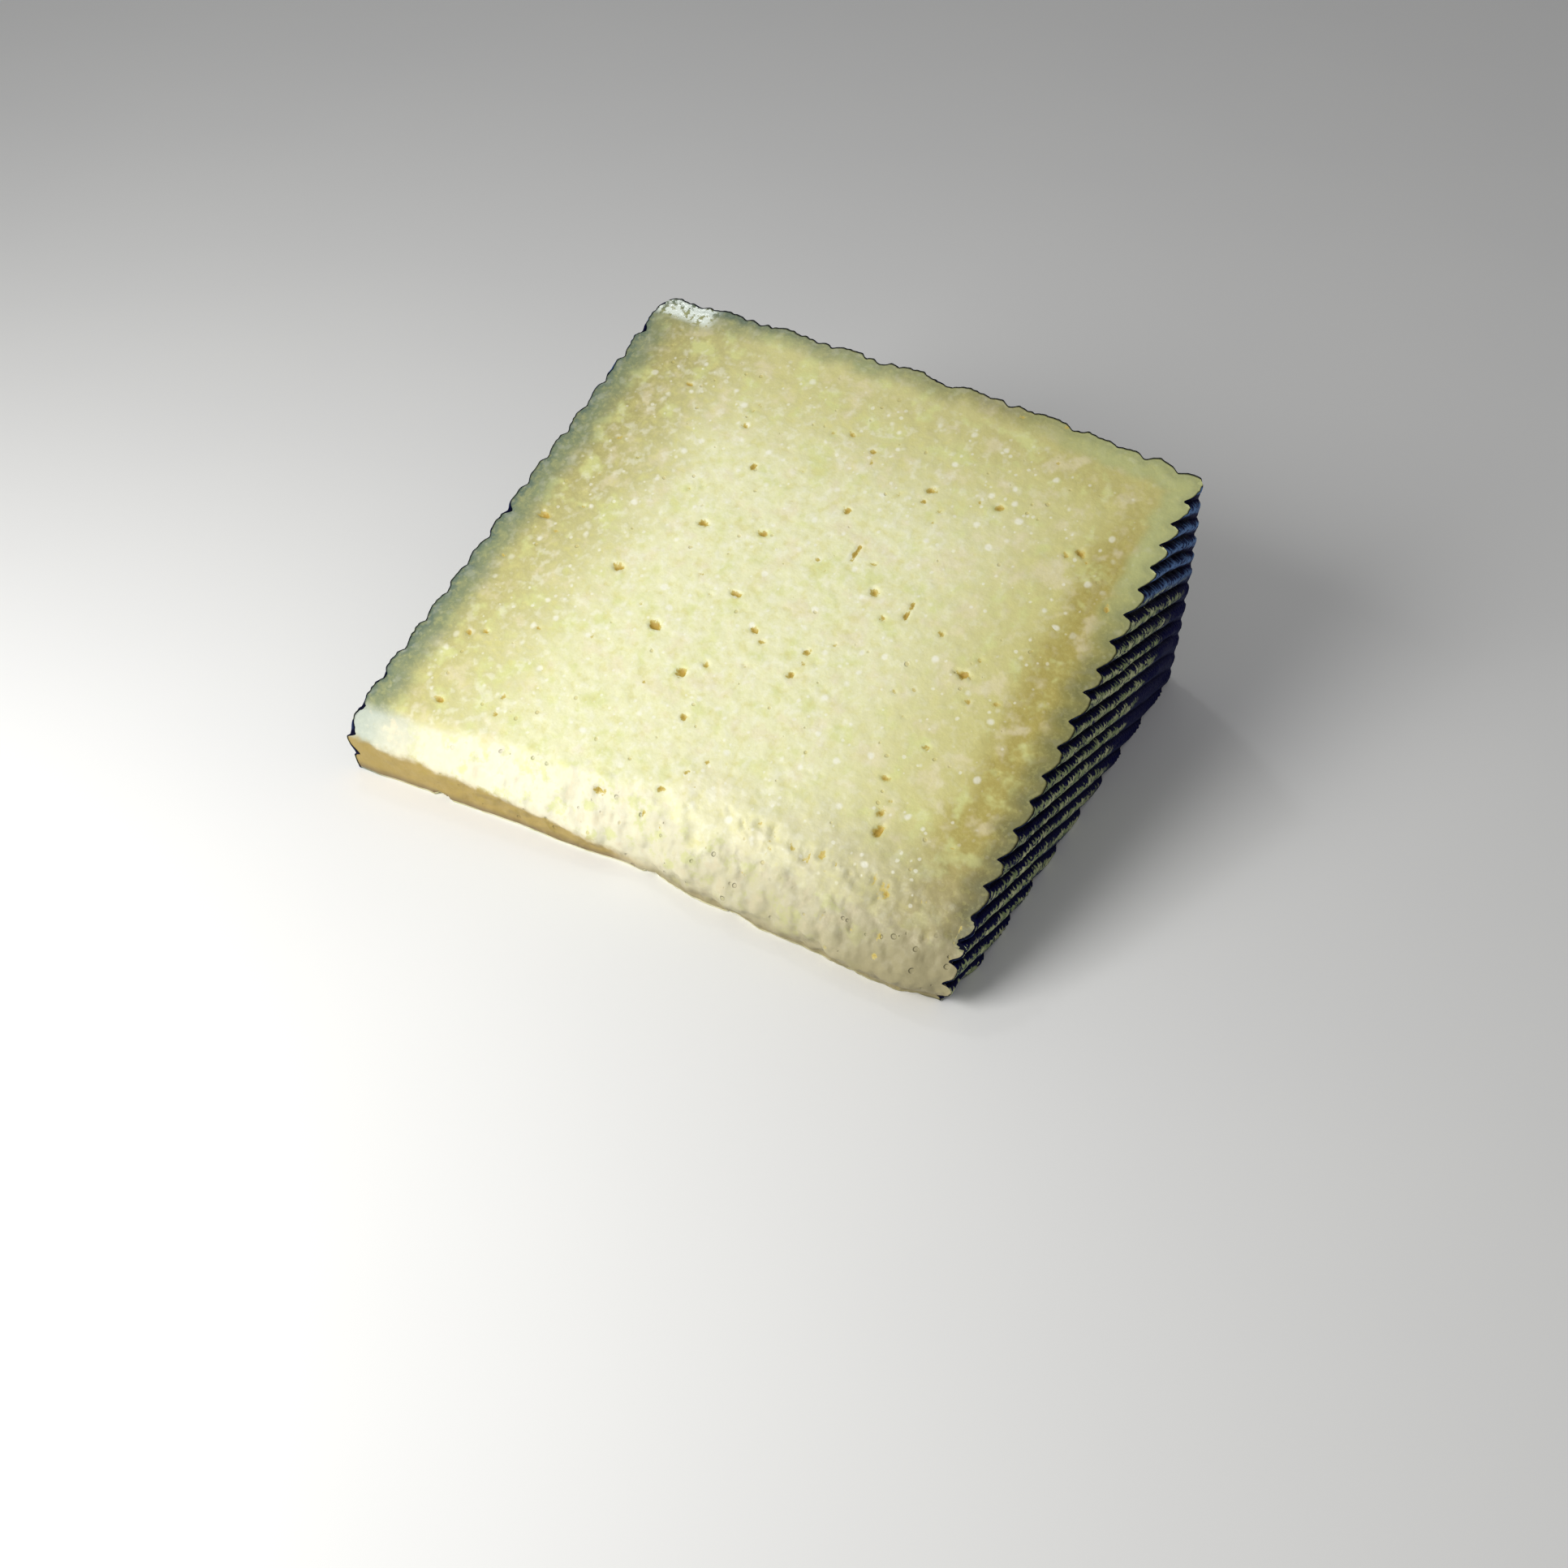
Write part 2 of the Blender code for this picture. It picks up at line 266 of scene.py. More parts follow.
@dataclass(frozen=True)
class Tip:
    """The wedge's blunt tip: an undercut facet under a bevel on the left, a crumbled slope on the right."""

    wheel: Wheel
    knife: Knife
    foot_forward: float = 0.0015
    foot_drawn: float = 0.0052
    foot_curve: float = 1.15
    foot_bend_x: float = 0.002
    foot_corner: float = 0.006
    nose_reach: float = 0.0011
    crumbled_reach: float = 0.3
    nose_places: tuple[float, ...] = (-49.4, -24.0, -8.0, 4.0, 14.0)
    nose_heights: tuple[float, ...] = (7.8, 6.1, 4.2, 1.7, 0.8)
    foot_places: tuple[float, ...] = (-49.4, -25.0, -15.0, -7.5, -2.0, 2.7, 5.2, 8.8, 13.1, 15.4, 26.0, 49.4)
    foot_steps: tuple[float, ...] = (0.60, 0.50, 0.45, 0.20, -0.10, 0.10, 0.65, 1.15, 0.45, 0.90, 0.80, 0.30)
    bevel_back: float = 0.0030
    bulge: float = 0.0019
    crumble_ramp: float = 0.016
    sharp_crease: float = 0.0005
    soft_crease: float = 0.0030
    sharp_edge: float = 0.0009
    soft_edge: float = 0.0060
    crumb: float = 0.00062
    clean_crumb: float = 0.50
    crumb_depth: float = 0.0060
    lump_size: tuple[float, ...] = (0.0042, 0.0050, 0.0036)
    fine_size: tuple[float, ...] = (0.0017, 0.0018, 0.0016)
    fine_share: float = 0.55
    scored_size: tuple[float, ...] = (0.0012, 0.0012, 0.0012)
    scored_share: float = 0.35
    calm_foot: float = 0.0020
    backward: float = 0.80
    downward: float = 0.60
    calm_edge: float = 0.0008
    calm_fade: float = 0.0045
    tuck: float = 0.0018
    tuck_height: float = 0.0045
    tuck_depth: float = 0.010
    tuck_width: float = 0.012
    ray_steps: int = 10
    grain: Grain = Grain(5)

    def crumbled(self, x: Array) -> Array:
        """How far the tip is crumbled rather than sliced clean: 0 on the left, 1 on the right."""
        return smooth((x - self.foot_bend_x) / self.crumble_ramp + 0.5)

    def foot(self, x: Array) -> Array:
        """Where the tip stands on the ground: straight on the right, drawn out towards the left end.

        Args:
            x: Place along X.

        Returns:
            The place along Y.
        """
        half = self.wheel.height / 2
        drawn = np.clip((self.foot_bend_x - x) / (half + self.foot_bend_x), 0.0, 1.2) ** self.foot_curve
        corner = smooth((x - half) / self.foot_corner + 1)
        line = self.wheel.axle_y + self.knife.tip_from_axle
        step = np.interp(x / MM, self.foot_places, self.foot_steps) * MM
        return line - self.foot_forward * (1 - corner) - self.foot_drawn * drawn - step

    def nose_height(self, x: Array) -> Array:
        """Height of the tip's foremost line, which falls off to the right."""
        return np.interp(x / MM, self.nose_places, self.nose_heights) * MM

    def edge_height(self, x: Array) -> Array:
        """Height at which the tip meets the upper cut."""
        return self.knife.upper_cut(x, self.foot(x) + self.bevel_back)

    def front(self, x: Array, z: Array) -> Array:
        """The tip's surface: a facet that leans forward up to the nose, and a bevel that leans back over it.

        Args:
            x: Place along X.
            z: Height.

        Returns:
            The place along Y, the rounded maximum of the two straight lines, less a sine-shaped bulge on
            the right.
        """
        foot, nose, crumbled = self.foot(x), self.nose_height(x), self.crumbled(x)
        reach = self.nose_reach * (1 - (1 - self.crumbled_reach) * crumbled)
        share = (z - nose) / (self.edge_height(x) - nose)
        facet = foot - reach * z / nose
        bevel = foot - reach + (self.bevel_back + reach) * share
        crease = self.sharp_crease + (self.soft_crease - self.sharp_crease) * crumbled
        bulge = self.bulge * crumbled * np.sin(math.pi * np.clip(share, 0.0, 1.0))
        return smooth_max(facet, bevel, crease) - bulge

    def radius(self, x: Array, turn: Array) -> Array:
        """Distance from the axle to the tip's surface, found by stepping along each ray.

        Args:
            x: Place along X.
            turn: Turn about the axle.

        Returns:
            The distance, after some steps of radius = (front - axle) / cos(turn).
        """
        found = np.full(np.broadcast(x, turn).shape, self.knife.tip_from_axle)
        for _ in range(self.ray_steps):
            found = (self.front(x, found * np.sin(turn)) - self.wheel.axle_y) / np.cos(turn)
        return found

    def lumpy(self, points: Array, size: tuple[float, ...], shift: float) -> Array:
        """Random relief about the tip, in patches of a size along X, Y and Z."""
        x, y, z = np.moveaxis(points, -1, 0)
        return self.grain.at(x / size[0], z / size[2], shift + y / size[1])

    def settle(self, points: Array) -> Array:
        """Rounds the edge between the tip and the upper cut, and crumbles the tip, by moving space itself.

        Every piece goes through the same move, so that pieces which meet before it still meet after it.
        With t the depth under the upper cut and behind the tip, a point moves inward by (k - t)^2 / (4 k)
        where t is under k.

        Args:
            points: Places, on a last axis of three.

        Returns:
            The moved places.
        """
        x, y, z = points[..., 0], points[..., 1], points[..., 2]
        crumbled = self.crumbled(x)
        reach = self.sharp_edge + (self.soft_edge - self.sharp_edge) * crumbled
        under = (self.knife.upper_cut(x, y) - z) * math.cos(self.knife.angle)
        behind = y - self.front(x, np.clip(z, 0.0, None))
        near = np.maximum(reach - np.maximum(under, 0.0) - np.maximum(behind, 0.0), 0.0)
        inward = near * near / (4 * reach)
        fine = self.fine_share * self.lumpy(points, self.fine_size, 8.5)
        scored = self.scored_share * self.lumpy(points, self.scored_size, 5.2) * crumbled
        lumps = self.lumpy(points, self.lump_size, 3.5) + (fine + scored) * smooth(z / self.calm_foot)
        fade = 1 - smooth(np.maximum(behind, 0.0) / self.crumb_depth)
        fade = fade * smooth((self.wheel.height / 2 - np.abs(x) - self.calm_edge) / self.calm_fade)
        lumps = lumps * self.crumb * (self.clean_crumb + (1 - self.clean_crumb) * crumbled) * fade
        moved = points.copy()
        tucked = smooth(1 - z / self.tuck_height) * smooth(1 - behind / self.tuck_depth)
        tucked = tucked * smooth((x - self.wheel.height / 2) / self.tuck_width + 1)
        moved[..., 0] -= self.tuck * tucked
        moved[..., 1] += inward * self.backward + lumps
        moved[..., 2] -= inward * self.downward
        return moved


@dataclass(frozen=True)
class BoardPrint:
    """Strands pressed into the flat faces by the mould's boards: parallel, slanting and stitched."""

    wheel: Wheel
    knife: Knife
    grooves: tuple[float, ...] = (
        7.62, 10.59, 13.83, 17.28, 20.29, 23.58, 27.00, 29.96, 33.38, 36.42, 40.02, 42.77, 46.28, 49.65,
        52.97, 55.77, 58.70, 61.47, 64.55)
    pitch: float = 0.00319
    left_pitch: float = 0.00402
    fall: float = math.radians(22.5)
    depth: float = 0.00125
    left_depth: float = 0.00075
    low_share: float = 0.45
    rim_share: float = 0.25
    rim_fade: float = 0.008
    waver: float = 0.00035
    unevenness: float = 0.22
    stitch: float = 0.00115
    stitch_height: float = 0.00009
    bright_from: float = 0.0500
    bright_fade: float = 0.0030
    upper_calm: float = 0.15
    bend_length: float = 0.012
    bend_width: float = 0.009
    kink_length: float = 0.003
    kink_width: float = 0.004
    wear_size: float = 0.011
    patch_length: float = 0.005
    patch_width: float = 0.004
    grit: float = 0.0012
    grit_share: float = 0.35
    shares: tuple[float, ...] = (0.0, 0.05, 0.12, 0.22, 0.32, 0.42, 0.52, 0.64, 0.76, 0.86, 0.94, 1.0)
    heights: tuple[float, ...] = (
        -1.0, -0.93, -0.76, -0.46, -0.20, -0.03, 0.06, 0.10, 0.08, -0.04, -0.45, -1.0)
    bright_heights: tuple[float, ...] = (
        -1.0, -0.94, -0.80, -0.56, -0.38, -0.24, -0.10, 0.06, 0.10, 0.02, -0.42, -1.0)
    grain: Grain = Grain(21)

    def count_off(self, side: Side, over: Array) -> Array:
        """Places across the strands, counted in strands.

        Args:
            side: Which flat face.
            over: Distance across the strands.

        Returns:
            On the right, what straight lines between the numbered grooves give, and even steps outside
            them.
        """
        if side is Side.LEFT:
            return over / self.left_pitch
        marks = np.array(self.grooves) * MM
        outside = np.minimum(over - marks[0], 0.0) + np.maximum(over - marks[-1], 0.0)
        return np.interp(over, marks, np.arange(len(marks))) + outside / self.pitch

    def read(self, side: Side, y: Array, z: Array, up: Array, radius: Array) -> dict[str, Array]:
        """The print at places on a flat face.

        Args:
            side: Which flat face.
            y: Place along Y.
            z: Height.
            up: Share of the way from the underside to the upper cut.
            radius: Distance from the axle.

        Returns:
            height, in metres over the face; share, the place across a strand from its groove; stitch, a
            wave along the strand from -1 to 1; and bright, 1 on the first few strands under the outer upper
            corner.
        """
        out = y - self.wheel.axle_y - self.knife.tip_from_axle
        run = out * math.cos(self.fall) - z * math.sin(self.fall)
        over = out * math.sin(self.fall) + z * math.cos(self.fall)
        seed = 7.0 * side.value
        bend = self.grain.at(run / self.bend_length, over / self.bend_width, seed)
        bend = bend + 0.5 * self.grain.at(run / self.kink_length, over / self.kink_width, seed + 3)
        phase = self.count_off(side, over + self.waver * bend * smooth((1 - up) / self.upper_calm))
        depth = self.depth if side is Side.RIGHT else self.left_depth
        strand = np.floor(phase)
        share = phase - strand
        bright = smooth((over - self.bright_from) / self.bright_fade)
        dull_shape = np.interp(share, self.shares, self.heights)
        shape = dull_shape + (np.interp(share, self.shares, self.bright_heights) - dull_shape) * bright
        worn = 1 + self.unevenness * self.grain.at(y / self.wear_size, z / self.wear_size, seed + 5)
        worn = worn * (self.low_share + (1 - self.low_share) * smooth(1.5 * up))
        rim = smooth((self.wheel.radius - radius - 0.002) / self.rim_fade)
        worn = worn * (self.rim_share + (1 - self.rim_share) * rim)
        offset = 0.5 * strand + 0.4 * self.grain.at(run / 0.004, strand * 0.7, seed + 9)
        stitch = np.cos(2 * math.pi * (run / self.stitch + 0.9 * share + offset))
        patches = self.grain.at(run / self.patch_length, over / self.patch_width, seed + 15)
        crest = smooth((share - 0.4) / 0.1) * (1 - smooth((share - 0.86) / 0.08)) * smooth(0.5 + 1.2 * patches)
        rough = self.grit_share * self.grain.layers(y / self.grit, z / self.grit, seed + 11, 2)
        height = shape * depth * worn + (stitch * crest + rough) * self.stitch_height
        return {"height": height, "share": share, "stitch": stitch, "bright": bright}


@dataclass(frozen=True)
class BeltPrint:
    """The plait pressed into the rim by the mould's belt: bands whose strands slant to and fro."""

    wheel: Wheel
    band_count: int = 9
    overhang: float = 0.0010
    slant: float = math.radians(36)
    pitch: float = 0.0047
    depth: float = 0.00125
    seam: float = 0.00150
    proud: float = 0.00020
    seam_width: float = 0.16
    waver: float = 0.00045
    waver_size: float = 0.006
    start: float = 0.012
    roundness: float = 0.6
    cut_share: float = 0.45
    cut_fade: float = 0.18
    wear: float = 0.2
    wear_size: float = 0.011
    grit: float = 0.0013
    grit_share: float = 0.4
    stitch: float = 0.0013
    stitch_height: float = 0.00012
    grain: Grain = Grain(33)

    def read(self, x: Array, arc: Array, up: Array) -> dict[str, Array]:
        """The print at places on the rim.

        Args:
            x: Place along the axle.
            arc: Distance round the rim, up from the ground.
            up: Share of the way from the underside to the upper cut.

        Returns:
            height, share and stitch, as on the boards. A strand's height is a sine over its pitch.
        """
        width = (self.wheel.height + 2 * self.overhang) / self.band_count
        place = (x + self.wheel.height / 2 + self.overhang) / width
        band = np.floor(place)
        across = place - band
        turned = np.where(band % 2 == 1, 1.0, -1.0)
        slant = (across - 0.5) * width * math.tan(self.slant) * turned
        waver = self.waver * self.grain.at(x / self.waver_size, arc / self.waver_size, band * 1.7)
        phase = (arc + self.start - slant - waver) / self.pitch
        strand = np.floor(phase)
        share = phase - strand
        shape = np.sin(math.pi * share) ** self.roundness
        strand_height = -self.depth + (self.depth + self.proud) * shape
        edge = np.minimum(across, 1 - across) / self.seam_width
        height = -self.seam + (strand_height + self.seam) * smooth(edge)
        run = (across - 0.5) * width / math.cos(self.slant)
        stitch = np.cos(2 * math.pi * (run / self.stitch + 0.7 * share * turned + 0.5 * strand))
        rough = self.grit_share * self.grain.layers(x / self.grit, arc / self.grit, 4.5, 2)
        height = height + (stitch * shape + rough) * self.stitch_height * smooth(edge)
        height = height * (1 + self.wear * self.grain.at(x / self.wear_size, arc / self.wear_size, 9.5))
        height = height * (self.cut_share + (1 - self.cut_share) * smooth((1 - up) / self.cut_fade))
        return {"height": height, "share": share, "stitch": stitch}


def mesh_object(name: str, points: Array, faces: list[list[int]], flat_from: int) -> bpy.types.Object:
    """Makes a closed mesh with its faces pointing outwards.

    Args:
        name: The piece's name.
        points: Its vertices, one row of three each.
        faces: Its faces, each a list of vertex numbers.
        flat_from: Faces from this one on are shaded flat, and those before it smooth.

    Returns:
        The new object, at the origin.
    """
    mesh = bpy.data.meshes.new(name)
    mesh.from_pydata(points.tolist(), [], faces)
    rounded = np.arange(len(mesh.polygons)) < flat_from
    mesh.polygons.foreach_set("use_smooth", rounded)
    work = bmesh.new()
    work.from_mesh(mesh)
    bmesh.ops.recalc_face_normals(work, faces=work.faces)
    work.to_mesh(mesh)
    work.free()
    made = bpy.data.objects.new(name, mesh)
    bpy.context.scene.collection.objects.link(made)
    return made


def add_values(piece: bpy.types.Object, name: str, values: Array) -> None:
    """Writes one number a vertex into a mesh, for its material to read."""
    layer = piece.data.attributes.new(name, "FLOAT", "POINT")
    layer.data.foreach_set("value", np.ascontiguousarray(values, np.float32))


def grid_faces(columns: int, rows: int) -> Array:
    """The faces of a grid whose vertices are numbered row by row.

    Args:
        columns: Vertices in a row.
        rows: How many rows.

    Returns:
        One row of four vertex numbers for each face.
    """
    numbers = np.arange(columns * rows).reshape(rows, columns)
    corners = (numbers[:-1, :-1], numbers[:-1, 1:], numbers[1:, 1:], numbers[1:, :-1])
    return np.stack([corner.ravel() for corner in corners], axis=1)


def ring_faces(inner: Array, outer: Array) -> Array:
    """The faces between two closed rings of as many vertices, four vertex numbers each."""
    return np.stack([inner, outer, np.roll(outer, -1), np.roll(inner, -1)], axis=1)


def perimeter(columns: int, rows: int) -> Array:
    """Vertex numbers round a grid: the first row, up the last column, the last row back, and down."""
    numbers = np.arange(columns * rows).reshape(rows, columns)
    return np.concatenate([numbers[0], numbers[1:, -1], numbers[-1, -2::-1], numbers[-2:0:-1, 0]])


def resample(line: Array, count: int) -> Array:
    """The same line with another number of points, evenly spread over the old ones.

    Args:
        line: Points along a line.
        count: How many are wanted.

    Returns:
        The new points.
    """
    old = np.linspace(0.0, 1.0, len(line))
    new = np.linspace(0.0, 1.0, count)
    return np.stack([np.interp(new, old, line[:, axis]) for axis in range(line.shape[1])], axis=1)


def distance_to(points: Array, line: Array) -> Array:
    """Distance from each point to the nearest point of a line.

    Args:
        points: Places, one row of three each.
        line: Points along the line.

    Returns:
        The distances.
    """
    found = np.empty(len(points))
    for start in range(0, len(points), 2000):
        part = points[start:start + 2000]
        squares = ((part[:, None, :] - line[None, :, :]) ** 2).sum(axis=2)
        found[start:start + 2000] = np.sqrt(squares.min(axis=1))
    return found


@dataclass
class RindSkin:
    """One skin of the rind: its printed outside, a thin cut edge, and a plain wall hidden in the paste."""

    wheel: Wheel
    knife: Knife
    tip: Tip
    boards: BoardPrint
    belt: BeltPrint
    rows: int = 170
    cell: float = 0.00026
    thickness: float = 0.00005
    groove_thickness: float = 0.00030
    blotchy: float = 0.5
    spread: float = 0.0
    nibble: float = 0.00010
    nibble_share: float = 0.035
    nibble_size: float = 0.0016
    fray: float = 0.10
    fray_size: float = 0.0014
    wave_size: float = 0.0024
    plain_height: float = -0.0005
    lip_depth: float = 0.0003
    lip_sink: float = 0.0006
    lip_stations: int = 2
    wall_depth: float = 0.0017
    wall_sink: float = 0.0012
    notch: float = 0.035
    navy_start: float = 0.034
    navy_end: float = 0.050
    grain: Grain = Grain(45)
    name: str = "rind"

    def stations(self) -> tuple[Array, ...]:
        """The skin's path over the wheel's section. Each kind of skin has its own."""
        raise NotImplementedError

    def section(self, along: Array, up: Array) -> dict[str, Array]:
        """Places on the unprinted section. Each kind of skin has its own."""
        raise NotImplementedError

    def prints(self, base: dict[str, Array]) -> dict[str, Array]:
        """The two moulds' prints, blended round the wheel's edge.

        Args:
            base: Places on the section, with the turn of the path at each: 0 on a flat face, a right angle
                on the rim.

        Returns:
            height, and worn and blue, which the finish reads: where the strands are worn pale, and where they
            are blue-grey, a faint tint under most strands and a painted reflection on the first few strands
            under the outer upper corner. Both fade towards the lower back corner, partly as painted shadow
            near the ground.
        """
        points = self.wheel.points(base["x"], base["radius"], base["turn"])
        belt = self.belt.read(base["x"], base["radius"] * base["turn"], base["up"])
        weight = smooth((base["round"] / (math.pi / 2) - 0.2) / 0.6)
        if np.all(weight >= 1):
            board = belt
        else:
            sides = np.where(base["x"] > 0, 1.0, -1.0)
            place = (points[..., 1], points[..., 2], base["up"], base["radius"])
            right = self.boards.read(Side.RIGHT, *place)
            left = self.boards.read(Side.LEFT, *place)
            board = {key: np.where(sides > 0, right[key], left[key]) for key in right}
        height = board["height"] * (1 - weight) + belt["height"] * weight
        x, y, z = np.moveaxis(points, -1, 0)
        nibbles = self.grain.layers(x / self.nibble_size, y / self.nibble_size, 6.5, 2)
        height = height + self.nibble * nibbles * (1 - smooth((1 - base["up"]) / self.nibble_share))
        notched = board["share"] + self.notch * board["stitch"]
        fray = self.fray * self.grain.layers(y / self.fray_size, z / self.fray_size, 4.5, 2)
        board_worn = smooth((notched + fray - 0.36) / 0.10) * (1 - smooth((notched + fray - 0.80) / 0.08))
        under = smooth((board["share"] - 0.08) / 0.10) * (1 - smooth((board["share"] - 0.46) / 0.12))
        filled = smooth((notched + fray - 0.36) / 0.14) * (1 - smooth((notched + fray - 0.82) / 0.08))
        belt_worn = smooth((np.sin(math.pi * belt["share"]) - 0.70 - 0.1 * belt["stitch"]) / 0.2) * 0.8
        patchy = 0.5 + 0.5 * self.grain.layers(y / 0.008, z / 0.005, x / 0.008, 3)
        # Towards the lower back corner the strands stay dark navy, unworn and without blue: partly painted
        # shadow near the ground, partly strands that are not worn pale there.
        low = smooth((y - self.navy_start) / (self.navy_end - self.navy_start) + (0.028 - z) / 0.014)
        bright = board["bright"] if "bright" in board else 0.0
        on_face = 1 - weight
        worn = board_worn * (1 - 0.92 * bright) * (1 - 0.95 * low) * on_face + belt_worn * weight
        worn = worn * np.clip(0.35 + 1.0 * patchy, 0, 1)
        # Blue: a faint tint under the dull strands, and a painted reflection on the crests of the first few
        # strands under the outer upper corner.
        blue = (0.14 * under * (1 - bright) + filled * bright) * on_face * (1 - 0.7 * low)
        return {"height": height, "worn": worn, "blue": blue}

    def surface(self, along: Array, up: Array, inward: Array | float = 0.0, behind: Array | float = 0.0,
                sink: Array | float = 0.0, plain: bool = False) -> tuple[Array, dict[str, Array]]:
        """Places on the printed outside, or at a depth under it.

        Args:
            along: Which station, as a whole number.
            up: Share of the way from the underside to the upper cut.
            inward: Depth under the printed surface.
            behind: Further distance from the axle, to stay behind the tip.
            sink: Distance to stay within the two cuts.
            plain: Whether the print is left out.

        Returns:
            The places, and the prints there. A place is the section's, moved along its normal by the
            print's height less the depth, and then turned back onto the share of the way between the cuts.
        """
        base = self.section(along, up)
        prints = self.prints(base)
        out = (self.plain_height if plain else prints["height"]) - inward
        x = base["x"] + np.cos(base["round"]) * base["side"] * out
        radius = base["radius"] + np.sin(base["round"]) * out
        turn = up * self.knife.upper_turn(x, radius)
        if "start" in base:
            correction = self.tip.radius(x, turn) - base["start"]
            radius = radius + correction * (1 - base["share"])
            turn = up * self.knife.upper_turn(x, radius)
        radius = radius + behind
        turn = np.clip(turn, sink / radius, self.knife.upper_turn(x, radius) - sink / radius)
        return self.wheel.points(x, radius, turn), prints

    def edge(self, up: float, inward: float, plain: bool = False) -> Array:
        """One long edge of the skin as a line, at a depth under the printed surface."""
        along = np.arange(self.count)
        return self.surface(along, np.full(self.count, up), inward, plain=plain)[0]

    @property
    def count(self) -> int:
        """How many stations the path has."""
        return len(self.stations()[0])

    def build(self, finish: "RindFinish") -> bpy.types.Object:
        """Makes the skin and dresses it.

        Args:
            finish: What it is dressed in.

        Returns:
            The piece. Its outside is a grid of stations and rows. Three rings follow the grid's border: the
            inner line of the cut edge, a lip a little under the print and back from the cuts, and a line
            deeper than the print, which one large face closes.
        """
        count = self.count
        along, up = np.meshgrid(np.arange(count), np.linspace(0.0, 1.0, self.rows))
        along, up = along.ravel(), up.ravel()
        outside, prints = self.surface(along, up)
        border = perimeter(count, self.rows)
        edge_along, edge_up = along[border], up[border]
        out, beside = outside[border, 1] / self.wave_size, outside[border, 0] / self.wave_size
        wave = self.grain.layers(out, beside, 2.5, 3)
        groove = smooth(self.spread - prints["height"][border] / self.boards.depth)
        thick = self.thickness + self.groove_thickness * groove * smooth((wave + self.blotchy) / 0.6)
        cut_edge = self.surface(edge_along, edge_up, thick)[0]
        at_tip = (edge_along == 0) & self.meets_tip
        base = self.section(edge_along, edge_up)
        lip_share = self.lip_sink / (base["radius"] * self.knife.upper_turn(base["x"], base["radius"]))
        lip_along = np.where(at_tip, self.lip_stations, edge_along)
        lip = self.surface(lip_along, np.clip(edge_up, lip_share, 1 - lip_share), thick + self.lip_depth)[0]
        behind = np.where(at_tip, self.wall_sink, 0.0)
        wall = self.surface(edge_along, edge_up, self.wall_depth, behind, self.wall_sink, plain=True)[0]
        points = self.tip.settle(np.concatenate([outside, cut_edge, lip, wall]))
        first = count * self.rows
        rings = [border] + [first + np.arange(len(border)) + start * len(border) for start in range(3)]
        skin = grid_faces(count, self.rows)
        strips = np.concatenate([ring_faces(outer, inner) for outer, inner in zip(rings, rings[1:])])
        faces = skin.tolist() + strips.tolist() + [rings[-1].tolist()]
        piece = mesh_object(self.name, points, faces, len(skin))
        hidden = np.zeros(3 * len(border))
        for key in ("worn", "blue"):
            add_values(piece, key, np.concatenate([prints[key], hidden]))
        relief = np.clip(prints["height"] / self.boards.depth, -1.2, 0.4)
        add_values(piece, "relief", np.concatenate([relief, hidden - 0.6]))
        add_values(piece, "cut", np.concatenate([np.zeros(first), hidden + 1]))
        dress(piece, finish.material())
        return piece

    @property
    def meets_tip(self) -> bool:
        """Whether the skin's first station lies on the tip."""
        return False


@dataclass
class FaceSkin(RindSkin):
    """The rind of one flat face, from the tip out to the middle of the rounded edge."""

    side: Side = Side.RIGHT

    @property
    def meets_tip(self) -> bool:
        """Whether the skin's first station lies on the tip."""
        return True

    def stations(self) -> tuple[Array, Array]:
        """The path: a share of the way over the flat face, then an angle round its edge.

        Returns:
            The shares, which stay 1 on the edge, and the angles, which are 0 on the face.
        """
        middle = self.wheel.edge_middle(self.side)[1]
        flat = round((middle - self.wheel.core) / self.cell)
        bend = round(self.wheel.edge_round(self.side) * math.pi / 4 / self.cell)
        shares = np.concatenate([np.linspace(0.0, 1.0, flat), np.ones(bend)])
        angles = np.concatenate([np.zeros(flat), np.linspace(0.0, math.pi / 4, bend + 1)[1:]])
        return shares, angles

    def section(self, along: Array, up: Array) -> dict[str, Array]:
        """Places on the unprinted face and its edge.

        Args:
            along: Which station, as a whole number.
            up: Share of the way from the underside to the upper cut.

        Returns:
            x, radius, turn, side, round (the path's turn), share (over the face) and start (the tip's
            radius). The radius runs straight from the tip's to the edge's, and then round a quarter circle.
        """
        shares, angles = self.stations()
        share, angle = shares[along], angles[along]
        inner, middle = self.wheel.edge_middle(self.side)
        radius = self.wheel.core + (middle - self.wheel.core) * share
        for _ in range(3):
            x = self.wheel.face_x(self.side, radius)
            turn = up * self.knife.upper_turn(x, radius)
            start = self.tip.radius(x, turn)
            radius = start + (middle - start) * share
        bent = angle > 0
        edge = self.wheel.edge_round(self.side)
        x = np.where(bent, inner + self.side.value * edge * np.cos(angle), x)
        radius = np.where(bent, middle + edge * np.sin(angle), radius)
        turn = up * self.knife.upper_turn(x, radius)
        side = float(self.side.value)
        return {"x": x, "radius": radius, "turn": turn, "side": side, "round": angle, "share": share,
                "start": start, "up": up}


